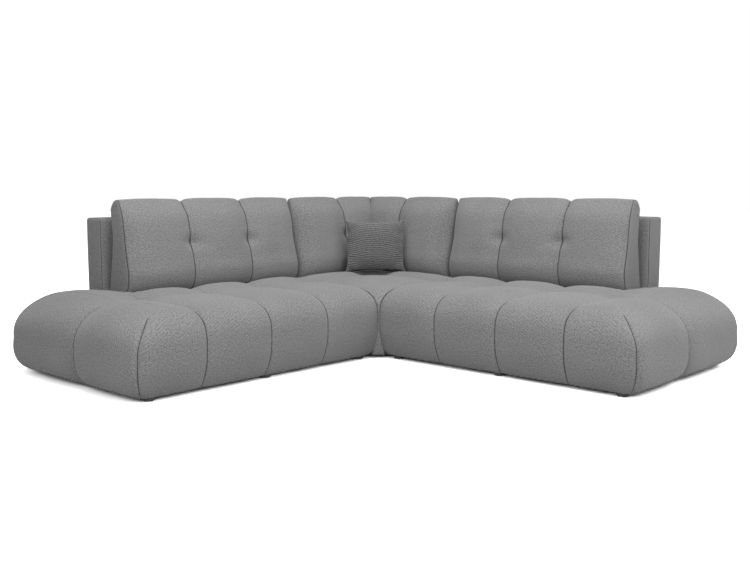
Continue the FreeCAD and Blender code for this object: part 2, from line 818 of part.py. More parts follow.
def pillow_section(height, width, thick):
    """Level section of the pillow: two shallow arcs and two narrow edges."""
    half_width = width / 2
    half_edge = value("pillow_edge") / 2
    steps = [
        ((0, -thick / 2), (half_width, -half_edge)),
        ((half_width, half_edge),),
        ((0, thick / 2), (-half_width, half_edge)),
    ]
    return closed_wire((-half_width, -half_edge), steps, lambda point: Vector(*point, height))


def pillow_form():
    """Upright pillow: thin at its edges, crowned in the middle, its sides drawn in."""
    tall = value("pillow_height")
    width = value("pillow_width")
    waist = value("pillow_waist")
    hem = value("pillow_hem")
    brow = value("pillow_brow")
    low = value("pillow_shoulder")
    sections = [(0, width, hem), (low, (width + waist) / 2, brow), (tall / 2, waist, value("pillow_thick")),
                (tall - low, (width + waist) / 2, brow), (tall, width, hem)]
    return loft([pillow_section(*section) for section in sections])


def stand_pillow(shape, drop):
    """Turn a pillow shape to the corner, lean it back and set its height over the seat's tuft."""
    copy = shape.copy()
    foot = value("row_line")
    start = value("seat_height") + value("cell_crown") + value("valley_crown")
    copy.rotate(Vector(0, 0, 0), Vector(1, 0, 0), -value("pillow_lean"))
    copy.rotate(Vector(0, 0, 0), Vector(0, 0, 1), 45)
    copy.translate(at(foot, foot, start - drop))
    return copy


def pillow_drop(form, seat):
    """How far the pillow comes down until it rests just clear of the seat."""
    drop = 0
    gap = value("cell_crown")
    while gap > value("settle_limit"):
        gap = stand_pillow(form, drop).distToShape(seat)[0] - value("seat_clearance")
        drop += gap
    return drop


# Build the frames of the wing and of the corner

def module(name, span, springs_count, glide_places, bolts):
    """Frame, springs, core, dust cover and glides of one module, in front-to-back order."""
    height = (RAIL_BOTTOM, RAIL_TOP)
    inner_u = (f"{span[0]} + rail_thick", f"{span[1]} - rail_thick")
    feet, screws = glides_and_screws(name, glide_places)
    holes = group(name + "_holes", [screws] + bolts)
    parts = {"glides": feet, "screws": screws, "clips": clips(name + "_clips", span, springs_count),
             "blocks": corner_blocks(name + "_glue_blocks", span),
             "springs": springs(name + "_springs", span, springs_count)}
    rails = {
        "rear": (span, ("frame_back", INNER_V[0])),
        "front": (span, (INNER_V[1], FRAME_FRONT)),
        "near": ((span[0], inner_u[0]), INNER_V),
        "far": ((inner_u[1], span[1]), INNER_V),
    }
    for rail, (u, v) in rails.items():
        parts[rail] = cut(f"{name}_{rail}_drilled", box(f"{name}_{rail}_bar", u, v, height), holes)
    sheet_box = box(name + "_dust_sheet", span, DEPTH_V, ("floor_gap", RAIL_BOTTOM))
    parts["dust"] = cut(name + "_dust_drilled", sheet_box, holes)
    parts["core"] = box(name + "_core", span, DEPTH_V, (CORE_BOTTOM, CORE_TOP))
    parts["room"] = box(name + "_room", span, DEPTH_V, ("floor_gap - rail_thick", CORE_TOP))
    return parts


def cross_rail(name, u):
    """Low rail across a frame, under the springs."""
    return box(name, (f"{u} - rail_thick / 2", f"{u} + rail_thick / 2"), INNER_V,
               (RAIL_BOTTOM, f"{RAIL_BOTTOM} + cross_rail_height"))


WING_POSTS = ["(seat_depth + post_inset)", f"({BACK_END} - post_inset)"]
CORNER_POSTS = ["(back_thick + post_inset)", "(seat_depth - post_inset)"]

wing_posts = [post(f"wing_post_{index}", u) for index, u in enumerate(WING_POSTS)]
corner_posts = [post(f"corner_post_{index}", u) for index, u in enumerate(CORNER_POSTS)]
wing_bolts = group("wing_bolts", post_bolts("wing_bolt_a", WING_POSTS[0]) + post_bolts(
    "wing_bolt_b", WING_POSTS[1]))
corner_bolts = group("corner_bolts", post_bolts("corner_bolt_a", CORNER_POSTS[0]) + post_bolts(
    "corner_bolt_b", CORNER_POSTS[1]))
wing_post_group = group("wing_posts", wing_posts)
corner_post_group = group("corner_posts", corner_posts)

GLIDE_REAR = "(frame_back + rail_thick / 2)"
GLIDE_FRONT = f"({FRAME_FRONT} - rail_thick / 2)"
wing_glide_u = [f"({FRAME_JOINT} + glide_inset)", f"(({FRAME_JOINT} + {FRAME_END}) / 2)",
                f"({FRAME_END} - glide_inset)"]
corner_glide_u = ["(frame_back + glide_inset)", f"({FRAME_FRONT} - glide_inset)"]
wing = module("wing", WING_U, "springs_per_wing",
              [(u, v) for u in wing_glide_u for v in (GLIDE_REAR, GLIDE_FRONT)], [wing_bolts])
corner_left_bolts = mirrored("corner_left_bolts", corner_bolts)
corner_left_posts = mirrored("corner_left_posts", corner_post_group)
corner = module("corner", CORNER_U, "springs_in_corner",
                [(u, v) for u in corner_glide_u for v in (GLIDE_REAR, GLIDE_FRONT)],
                [corner_bolts, corner_left_bolts])

both_wings("glides", wing["glides"])
both_wings("front_rail", wing["front"])
both_wings("rear_rail", wing["rear"])
both_wings("joint_rail", wing["near"])
both_wings("end_rail", wing["far"])
both_wings("cross_rails", group("wing_cross_rails", [
    cross_rail(f"wing_cross_rail_{index}", spread(WING_U, index, 2)) for index in range(2)]))
both_wings("springs", wing["springs"])
both_wings("seat_core", wing["core"])
both_wings("dust_cover", wing["dust"])
node(corner["glides"], "corner_glides")
node(corner["rear"], "corner_rear_rail")
node(corner["front"], "corner_front_rail")
node(corner["near"], "corner_side_rail")
node(corner["far"], "corner_inner_rail")
node(cross_rail("corner_cross", spread(CORNER_U, 0, 1)), "corner_cross_rail")
node(corner["springs"], "corner_springs")
node(corner["core"], "corner_seat_core")
node(corner["dust"], "corner_dust_cover")

# Seat pads

wing_pad = cut("wing_pad", solid_feature("wing_form", wing_form()),
               group("wing_pad_room", [wing["room"], wing_post_group, wing_bolts]))
both_wings("seat_pad", wing_pad)
corner_pad = cut("corner_pad", solid_feature("corner_form", corner_form()),
                 group("corner_pad_room", [corner["room"], corner_post_group, corner_left_posts,
                                           corner_bolts, corner_left_bolts]))
node(corner_pad, "corner_seat_pad")

# Back panels

BACK_V = ("0", "back_thick")
wing_panel, wing_board = back_panel(
    "wing_back", ("seat_depth", BACK_END), BACK_V,
    ("seat_depth + board_margin", f"{BACK_END} - board_margin"), [wing_post_group, wing_bolts])
both_wings("back_panel", wing_panel)
both_wings("back_board", wing_board)
corner_panel, corner_board = back_panel(
    "corner_back", ("0", "seat_depth"), BACK_V,
    ("back_thick + board_margin", "seat_depth - board_margin"), [corner_post_group, corner_bolts])
node(corner_panel, "corner_right_back_panel")
node(corner_board, "corner_right_back_board")
short_panel, short_board = back_panel(
    "corner_short_back", ("back_thick", "seat_depth"), BACK_V,
    ("back_thick + board_margin", "seat_depth - board_margin"), [corner_post_group, corner_bolts])
node(mirrored("corner_left_panel", short_panel), "corner_left_back_panel")
node(mirrored("corner_left_board", short_board), "corner_left_back_board")

# Small pieces shared by the modules, one kind to a node

def all_modules(name, right, middle):
    """Right, mirrored left and corner pieces of one kind, in one node."""
    twin = mirrored(name + "_left", right)
    return node(group(name + "_all", [right, twin] + middle), name)


all_modules("spring_clips", wing["clips"], [corner["clips"]])
all_modules("corner_blocks", wing["blocks"], [corner["blocks"]])
all_modules("glide_screws", wing["screws"], [corner["screws"]])
all_modules("back_posts", wing_post_group, [corner_post_group, corner_left_posts])
all_modules("post_bolts", wing_bolts, [corner_bolts, corner_left_bolts])

plates = []
for index, depth in enumerate(("frame_back + plate_inset", f"{FRAME_FRONT} - plate_inset")):
    plate = pad_and_holes(
        f"joint_plate_{index}", "XY_Plane",
        [("0", "0"), ("plate_length", "0"), ("plate_length", "plate_width"), ("0", "plate_width")],
        "plate_thick",
        [("plate_hole_inset", "plate_width / 2"), ("plate_length - plate_hole_inset", "plate_width / 2")],
        "plate_hole_radius")
    middle = f"({FRAME_FRONT} + {FRAME_JOINT}) / 2"
    place(plate, f"{middle} - plate_length / 2", f"{depth} + plate_width / 2", "floor_gap - plate_thick")
    plates.append(plate)
all_modules("connector_plates", group("right_plates", plates), [])

# Loose cushions and the pillow

cushion("long_cushion", cushion_form(value(LONG_START), int(value("long_channels"))),
        (LONG_START, LONG_END), f"{LONG_START} + core_margin")
cushion("corner_cushion", mitre(cushion_form(value(CORNER_START), int(value("corner_channels")))),
        (CORNER_START, CORNER_END), f"{REST_FRONT} + core_margin")

doc.recompute()
form = pillow_form()
drop = pillow_drop(form, corner_pad.Shape)
core_tall = value("pillow_core_height")
core_wide = value("pillow_core_width")
core_thick = value("pillow_core_thick")
block = Part.makeBox(core_wide, core_thick, core_tall, Vector(
    -core_wide / 2, -core_thick / 2, (value("pillow_height") - core_tall) / 2))
strip = Part.makeBox(core_wide, value("zip_width"), value("zip_thick"), Vector(
    -core_wide / 2, -value("zip_width") / 2, 0))
pillow_whole = solid_feature("pillow_form", stand_pillow(form, drop))
pillow_core = node(solid_feature("pillow_filling", stand_pillow(block, drop)), "throw_pillow_core")
pillow_zip = node(solid_feature("pillow_strip", stand_pillow(strip, drop)), "throw_pillow_zip")
node(cut("pillow_skin", pillow_whole, group("pillow_room", [pillow_core, pillow_zip])),
     "throw_pillow_cover")

# Check everything, then write the files

doc.recompute()
for item in doc.Objects:
    if "Invalid" in item.State or "Error" in item.State:
        raise RuntimeError(f"{item.Name} ({item.Label}) failed: {item.State}")
for item in NODES:
    if item.Shape.isNull() or not item.Shape.isValid() or not item.Shape.Solids:
        raise RuntimeError(f"{item.Label} has no valid solid")
os.makedirs("parts", exist_ok=True)
for item in NODES:
    item.Shape.exportStep(f"parts/{item.Label}.step")
    box_now = item.Shape.BoundBox
    print(f"{item.Label}: {len(item.Shape.Solids)} solids, {item.Shape.Volume / 1e6:.2f} l, "
          f"x {box_now.XMin:.1f}..{box_now.XMax:.1f} y {box_now.YMin:.1f}..{box_now.YMax:.1f} "
          f"z {box_now.ZMin:.1f}..{box_now.ZMax:.1f}")
print(len(NODES), "nodes")
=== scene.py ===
"""Corner sofa with a tufted seat, channelled back cushions and a ribbed throw pillow.

Metres. A wing is built in its own plan: u runs along it from the sofa's outer corner, v from the
rear of its back to the front of its seat, and z up. The left wing is the right one mirrored across
the sofa's diagonal.
"""

import json
import logging
import math
from dataclasses import dataclass
from enum import Enum
from typing import Callable, Iterator, Optional, Sequence

import bpy
import numpy as np
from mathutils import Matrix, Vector


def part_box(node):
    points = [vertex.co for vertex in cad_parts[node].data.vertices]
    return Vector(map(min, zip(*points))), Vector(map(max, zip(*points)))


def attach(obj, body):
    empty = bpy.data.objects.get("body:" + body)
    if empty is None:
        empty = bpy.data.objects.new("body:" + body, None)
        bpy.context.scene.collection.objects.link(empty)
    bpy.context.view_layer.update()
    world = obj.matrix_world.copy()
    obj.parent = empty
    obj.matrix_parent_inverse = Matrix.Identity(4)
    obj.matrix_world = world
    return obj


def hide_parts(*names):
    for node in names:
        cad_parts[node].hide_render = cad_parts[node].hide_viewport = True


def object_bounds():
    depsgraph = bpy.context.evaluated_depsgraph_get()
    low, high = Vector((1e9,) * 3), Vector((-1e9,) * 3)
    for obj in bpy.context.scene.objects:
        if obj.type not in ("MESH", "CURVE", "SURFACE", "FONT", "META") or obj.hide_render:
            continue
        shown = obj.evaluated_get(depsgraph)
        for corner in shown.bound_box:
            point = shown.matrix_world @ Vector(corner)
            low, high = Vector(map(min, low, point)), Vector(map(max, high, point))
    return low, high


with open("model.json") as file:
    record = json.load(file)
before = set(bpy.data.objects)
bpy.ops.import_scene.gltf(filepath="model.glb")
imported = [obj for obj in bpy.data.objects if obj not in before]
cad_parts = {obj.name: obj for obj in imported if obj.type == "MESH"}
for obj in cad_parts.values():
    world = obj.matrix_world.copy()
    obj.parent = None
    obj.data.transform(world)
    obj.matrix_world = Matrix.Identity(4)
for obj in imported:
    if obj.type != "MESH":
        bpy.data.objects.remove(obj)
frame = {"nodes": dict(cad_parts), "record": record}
CAD_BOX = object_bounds()
LOG = logging.getLogger("corner_sofa")

Array = np.ndarray

# Distance of a point that has no edge near it, and one at which the painted shade along stitches doesn't
# show any more
FAR = 9.0
HIDDEN = 0.03

# Lengths that keep a division by nothing from failing
FINE = 1e-6
TINY = 1e-12


class Wing(Enum):
    """The two wings, seen from the front of the sofa."""

    RIGHT = "right"
    LEFT = "left"


# Shared measures


@dataclass(frozen=True)
class Plan:
    """Driving measures of the sofa, in a wing's own plan.

    Attributes:
        half: Half of the sofa's side.
        seat_depth: Depth of a seat from its rear to the belly of its front.
        cell: Length of a quilted cell.
        cells: Cells along a wing.
        row: Depth of the seam between the rear and the front row of cells.
        seat: Height of the seat's seams.
        rest: Height on which the cushions stand.
        pressed: Depth up to which the cushions press the seat flat.
        back_end: Free end of a wing's back panel.
    """

    half: float
    seat_depth: float = 1.179
    cell: float = 0.396
    cells: int = 4
    row: float = 0.634
    seat: float = 0.400
    rest: float = 0.397
    pressed: float = 0.40
    back_end: float = 2.293

    @property
    def end(self) -> float:
        """Free end of a wing at its belly."""
        return self.seat_depth + self.cells * self.cell

    @property
    def seams(self) -> list[float]:
        """Places of the seams along a wing, from its joint to its last cell."""
        return [self.seat_depth + number * self.cell for number in range(self.cells)]

    def right(self, points: Array) -> Array:
        """Turn points u, v, z of the right wing's plan into x, y, z."""
        return np.stack([points[..., 0] - self.half, self.half - points[..., 1], points[..., 2]], axis=-1)

    def left(self, points: Array) -> Array:
        """Turn points u, v, z of the left wing's plan into x, y, z."""
        return np.stack([points[..., 1] - self.half, self.half - points[..., 0], points[..., 2]], axis=-1)

    def placing(self, wing: Wing) -> Callable[[Array], Array]:
        """What turns a wing's plan into the frame's axes."""
        return self.right if wing is Wing.RIGHT else self.left


def ramp(value: Array, low: float, high: float) -> Array:
    """Smooth step from 0 at low to 1 at high."""
    share = np.clip((value - low) / (high - low), 0.0, 1.0)
    return share * share * (3 - 2 * share)


def pillowing(distance: Array, reach: float, power: float = 2.6) -> Array:
    """Share of a padded cell's fullness: 0 on its seam, 1 at its middle."""
    share = np.clip(distance / reach, 0.0, 1.0)
    return 1 - (1 - share) ** power


def dip(distance: Array, width: float) -> Array:
    """Bell that is 1 at distance 0."""
    return np.exp(-((distance / width) ** 2))


def pinch(distance: Array, width: float) -> Array:
    """Sharp fold that is 1 at distance 0."""
    return np.exp(-np.abs(distance) / width)


def nearest(value: Array, places: Sequence[float]) -> Array:
    """Distance of each value from the nearest of some places."""
    return np.min([np.abs(value - place) for place in places], axis=0)


def table(value: Array, knots: Sequence[tuple[float, float]], soften: float) -> Array:
    """Read a soft curve through knots.

    Args:
        value: Where to read it.
        knots: Pairs of place and height, in order.
        soften: Width over which its corners are rounded.

    Returns:
        The curve's height at each value.
    """
    places = np.array([knot[0] for knot in knots])
    heights = np.array([knot[1] for knot in knots])
    offsets = np.linspace(-soften, soften, 9)
    weights = 1.2 - np.abs(offsets) / soften
    total = sum(weight * np.interp(value + offset, places, heights)
                for offset, weight in zip(offsets, weights))
    return total / weights.sum()


def drift(points: Array, scale: float, seed: float) -> Array:
    """Soft irregularity from a few crossing waves.

    Args:
        points: Where to read it.
        scale: Length of its waves.
        seed: Phase that sets one irregularity apart from another.

    Returns:
        A value between -1 and 1 at each point.
    """
    directions = ((1.0, 0.31, 0.12), (-0.42, 1.0, 0.27), (0.63, -0.71, 0.55), (0.17, 0.45, -1.0))
    total = np.zeros(points.shape[:-1])
    for number, direction in enumerate(directions):
        phase = points @ np.array(direction) / scale * math.tau + seed * (number + 1.7)
        total += np.sin(phase + 0.8 * np.sin(phase * 0.37 + seed))
    return total / len(directions)


def lines(breaks: Sequence[float], step: float) -> Array:
    """Space lines evenly so that they pass through every break.

    Args:
        breaks: Places that have a line, in order.
        step: Distance between two lines, about.

    Returns:
        The place of each line.
    """
    parts = []
    for low, high in zip(breaks, breaks[1:]):
        count = max(1, round((high - low) / step))
        parts.append(np.linspace(low, high, count, endpoint=False))
    return np.append(np.concatenate(parts), breaks[-1])


def smooth_curve(knots: Array, parts: Sequence[int]) -> Array:
    """Sample a smooth curve through knots.

    Args:
        knots: Points that the curve passes, in order, (n, 2).
        parts: How many pieces each span between two knots gets.

    Returns:
        The sampled points, ends included.
    """
    spans = np.linalg.norm(np.diff(knots, axis=0), axis=1)
    place = np.concatenate([[0.0], np.cumsum(spans)])
    slopes = np.gradient(knots, place, axis=0)
    points = []
    for number, count in enumerate(parts):
        share = np.linspace(0, 1, count, endpoint=False)[:, None]
        width = spans[number]
        points.append((2 * share ** 3 - 3 * share ** 2 + 1) * knots[number]
                      + (share ** 3 - 2 * share ** 2 + share) * width * slopes[number]
                      + (3 * share ** 2 - 2 * share ** 3) * knots[number + 1]
                      + (share ** 3 - share ** 2) * width * slopes[number + 1])
    return np.concatenate(points + [knots[-1:]])


# Meshes of cloth


class Cloth:
    """Grids of quads and flat caps that are welded into one closed mesh.

    Points weld where they round to the same whole number of parts, WELD of them to a metre.
    """

    WELD = 17389.1

    def __init__(self) -> None:
        """Start with nothing."""
        self.count = 0
        self.grids: list[Array] = []
        self.points: list[Array] = []
        self.weave: list[Array] = []
        self.values: dict[str, list[Array]] = {}
        self.caps: list[list[int]] = []

    def add(self, points: Array, weave: Array, **values: Array) -> Array:
        """Add one grid.

        Args:
            points: Rows and columns of points, (r, c, 3).
            weave: Place of each point on the flat fabric, (r, c, 2).
            values: Further values at each point, (r, c).

        Returns:
            The grid's point numbers, (r, c).
        """
        rows, columns = points.shape[:2]
        numbers = np.arange(rows * columns).reshape(rows, columns) + self.count
        self.count += rows * columns
        self.grids.append(numbers)
        self.points.append(points.reshape(-1, 3))
        self.weave.append(weave.reshape(-1, 2))
        for name, value in values.items():
            whole = np.broadcast_to(value, (rows, columns))
            self.values.setdefault(name, []).append(whole.reshape(-1).astype(float))
        return numbers

    def cap(self, *runs: Array) -> None:
        """Close an opening with a flat face along runs of point numbers."""
        self.caps.append([int(number) for run in runs for number in run])

    def weld(self) -> None:
        """Join points that coincide and turn every face outwards."""
        raw = np.concatenate(self.points)
        self.raw_weave = np.concatenate(self.weave)
        keys = np.round(raw * self.WELD).astype(np.int64)
        _, first, self.joined = np.unique(keys, axis=0, return_index=True, return_inverse=True)
        self.joined = self.joined.reshape(-1)
        self.at = raw[first]
        self.value = {name: np.concatenate(parts)[first] for name, parts in self.values.items()}
        middle = self.at.mean(axis=0)
        quads = []
        for numbers in self.grids:
            quad = np.stack([numbers[:-1, :-1], numbers[1:, :-1], numbers[1:, 1:], numbers[:-1, 1:]],
                            axis=-1).reshape(-1, 4)
            corner = raw[quad]
            normal = np.cross(corner[:, 2] - corner[:, 0], corner[:, 3] - corner[:, 1])
            outward = ((corner.mean(axis=1) - middle) * normal).sum()
            quads.append(quad[:, ::-1] if outward < 0 else quad)
        self.quads = np.concatenate(quads)

    def normals(self) -> Array:
        """Find the outward direction at each welded point.

        Returns:
            A unit vector for each point.
        """
        quad = self.joined[self.quads]
        corner = self.at[quad]
        normal = np.cross(corner[:, 2] - corner[:, 0], corner[:, 3] - corner[:, 1])
        total = np.zeros_like(self.at)
        for number in range(4):
            np.add.at(total, quad[:, number], normal)
        return total / np.maximum(np.linalg.norm(total, axis=1, keepdims=True), TINY)

    def relax(self, weight: Array, rounds: int) -> None:
        """Smooth the mesh.

        Args:
            weight: How freely each welded point moves, 0 to 1.
            rounds: How often every point moves towards its neighbours' mean.
        """
        quad = self.joined[self.quads]
        pairs = np.concatenate([quad[:, [0, 1]], quad[:, [1, 2]], quad[:, [2, 3]], quad[:, [3, 0]]])
        pairs = np.concatenate([pairs, pairs[:, ::-1]])
        near = np.bincount(pairs[:, 0], minlength=len(self.at)).clip(1)
        for _ in range(rounds):
            total = np.stack([np.bincount(pairs[:, 0], self.at[pairs[:, 1], axis], len(self.at))
                              for axis in range(3)], axis=1)
            self.at = self.at + (total / near[:, None] - self.at) * (weight * 0.5)[:, None]

    def swell(self, height: Array) -> None:
        """Move each welded point outwards by its height."""
        self.at = self.at + self.normals() * height[:, None]

    def piece(self, name: str, place: Callable[[Array], Array],
              seam: Optional[Array] = None) -> bpy.types.Object:
        """Make the mesh object, with a UV map of the flat fabric.

        Args:
            name: Object's name.
            place: Turns the mesh's points into the frame's axes.
            seam: Distance of each welded point from its nearest seam or groove, along which the material
                paints shade.

        Returns:
            The object, at the origin.
        """
        places = place(self.at)
        basis = place(np.vstack([np.zeros(3), np.eye(3)]))
        flip = np.linalg.det(basis[1:] - basis[0]) < 0
        faces, corners = [], []
        for quad in self.quads:
            self._face(quad[::-1] if flip else quad, faces, corners)
        middle = places.mean(axis=0)
        for cap in self.caps:
            ring = places[self.joined[cap]]
            spokes = ring - ring.mean(axis=0)
            normal = np.cross(spokes, np.roll(spokes, -1, axis=0)).sum(axis=0)
            outward = (ring.mean(axis=0) - middle) @ normal
            self._face(cap[::-1] if outward < 0 else cap, faces, corners)
        mesh = bpy.data.meshes.new(name)
        mesh.from_pydata(places.tolist(), [], faces)
        layer = mesh.uv_layers.new(name="weave")
        layer.data.foreach_set("uv", self.raw_weave[corners].ravel())
        # The seam attribute tells the cloth's material where to paint shade along seams and grooves
        if seam is not None:
            mark = mesh.attributes.new("seam", "FLOAT", "POINT")
            mark.data.foreach_set("value", seam.astype(np.float32))
        mesh.polygons.foreach_set("use_smooth", [True] * len(mesh.polygons))
        mesh.update()
        item = bpy.data.objects.new(name, mesh)
        bpy.context.scene.collection.objects.link(item)
        return item

    def _face(self, ring: Sequence[int], faces: list, corners: list) -> None:
        """Keep a face whose points differ once they are welded.

        Args:
            ring: Point numbers of the face, before the weld.
            faces: Kept faces, as welded point numbers.
            corners: Point numbers of all their corners, before the weld.
        """
        kept, seen = [], set()
        for number in ring:
            welded = int(self.joined[number])
            if welded not in seen:
                seen.add(welded)
                kept.append((welded, int(number)))
        if len(kept) > 2:
            faces.append([pair[0] for pair in kept])
            corners.extend(pair[1] for pair in kept)


# Upholstered seat


@dataclass(frozen=True)
class Roll:
    """Rounded side of the seat, from its shoulder over its belly to its hem.

    Attributes:
        shoulder: Inset of the roll's start on the flat top.
        belly: Height at which it stands out furthest.
        power: Squareness of its upper part; 2 is an ellipse.
        hem: Inset of its foot.
        tuck: How late its lower part turns in to the hem.
        top: Height of the flat top.
        floor: Height of the hem.
        turned_under: Width of the cloth that is turned in under the hem.
        recess: How far that cloth reaches up behind the hem.
        upper_rows: Rows of quads above the belly.
        lower_rows: Rows of quads below it.
        samples: Points of each part before its rows are spaced.
    """

    shoulder: float
    belly: float
    power: float
    hem: float
    tuck: float = 2.8
    top: float = 0.400
    floor: float = 0.022
    turned_under: float = 0.028
    recess: float = 0.012
    upper_rows: int = 34
    lower_rows: int = 34
    samples: int = 400

    def rows(self) -> Array:
        """Lay the rows, from the shoulder to the recess under the hem.

        Returns:
            Inset and height of each row.
        """
        turn = np.linspace(0, math.pi / 2, self.samples)
        rise = self.top - self.belly
        upper = np.stack([self.shoulder * (1 - np.sin(turn) ** (2 / self.power)),
                          self.belly + rise * np.cos(turn) ** (2 / self.power)], axis=1)
        drop = np.linspace(0, self.belly - self.floor, self.samples)
        lower = np.stack([self.hem * (drop / drop[-1]) ** self.tuck, self.belly - drop], axis=1)
        under = [[self.hem + self.turned_under, self.floor],
                 [self.hem + self.turned_under, self.floor + self.recess]]
        return np.concatenate([self._even(upper, self.upper_rows),
                               self._even(lower, self.lower_rows)[1:], under])

    @staticmethod
    def _even(curve: Array, count: int) -> Array:
        """Sample a curve again at even steps along its length.

        Args:
            curve: The curve's points.
            count: How many steps it gets.

        Returns:
            The new points, ends included.
        """
        length = np.concatenate([[0.0], np.cumsum(np.linalg.norm(np.diff(curve, axis=0), axis=1))])
        steps = np.linspace(0, length[-1], count + 1)
        return np.stack([np.interp(steps, length, curve[:, axis]) for axis in range(2)], axis=1)

    def progress(self) -> Array:
        """Count the way down the roll.

        Returns:
            0 at the shoulder, 1 at the belly and 2 at the hem, for each row.
        """
        upper = np.linspace(0, 1, self.upper_rows + 1)
        lower = 1 + np.linspace(0, 1, self.lower_rows + 1)[1:]
        return np.concatenate([upper, lower, [2.0, 2.0]])

    def length(self) -> Array:
        """Length of fabric from the shoulder to each row."""
        steps = np.linalg.norm(np.diff(self.rows(), axis=0), axis=1)
        return np.concatenate([[0.0], np.cumsum(steps)])


@dataclass(frozen=True)
class Side:
    """One rolled side of a pad and what it meets at its two ends.

    Attributes:
        roll: The side's own form.
        along_u: Whether the side runs along u; it runs along v if not.
        outward: 1 where it faces the way its other axis grows, -1 where it faces back.
        belly: Place of its belly on that axis.
        start: Roll that it meets at its low end.
        finish: Roll that it meets at its high end.
        start_anchor: Line at which it starts to follow the first of them.
        finish_anchor: Line at which it starts to follow the other.
        fuller: Fuller form that its cells swell to.
        fullness: Share of the fuller form on each line.
    """

    roll: Roll
    along_u: bool
    outward: int
    belly: float
    start: Optional[Roll] = None
    finish: Optional[Roll] = None
    start_anchor: float = 0.0
    finish_anchor: float = 0.0
    fuller: Optional[Roll] = None
    fullness: Optional[Array] = None


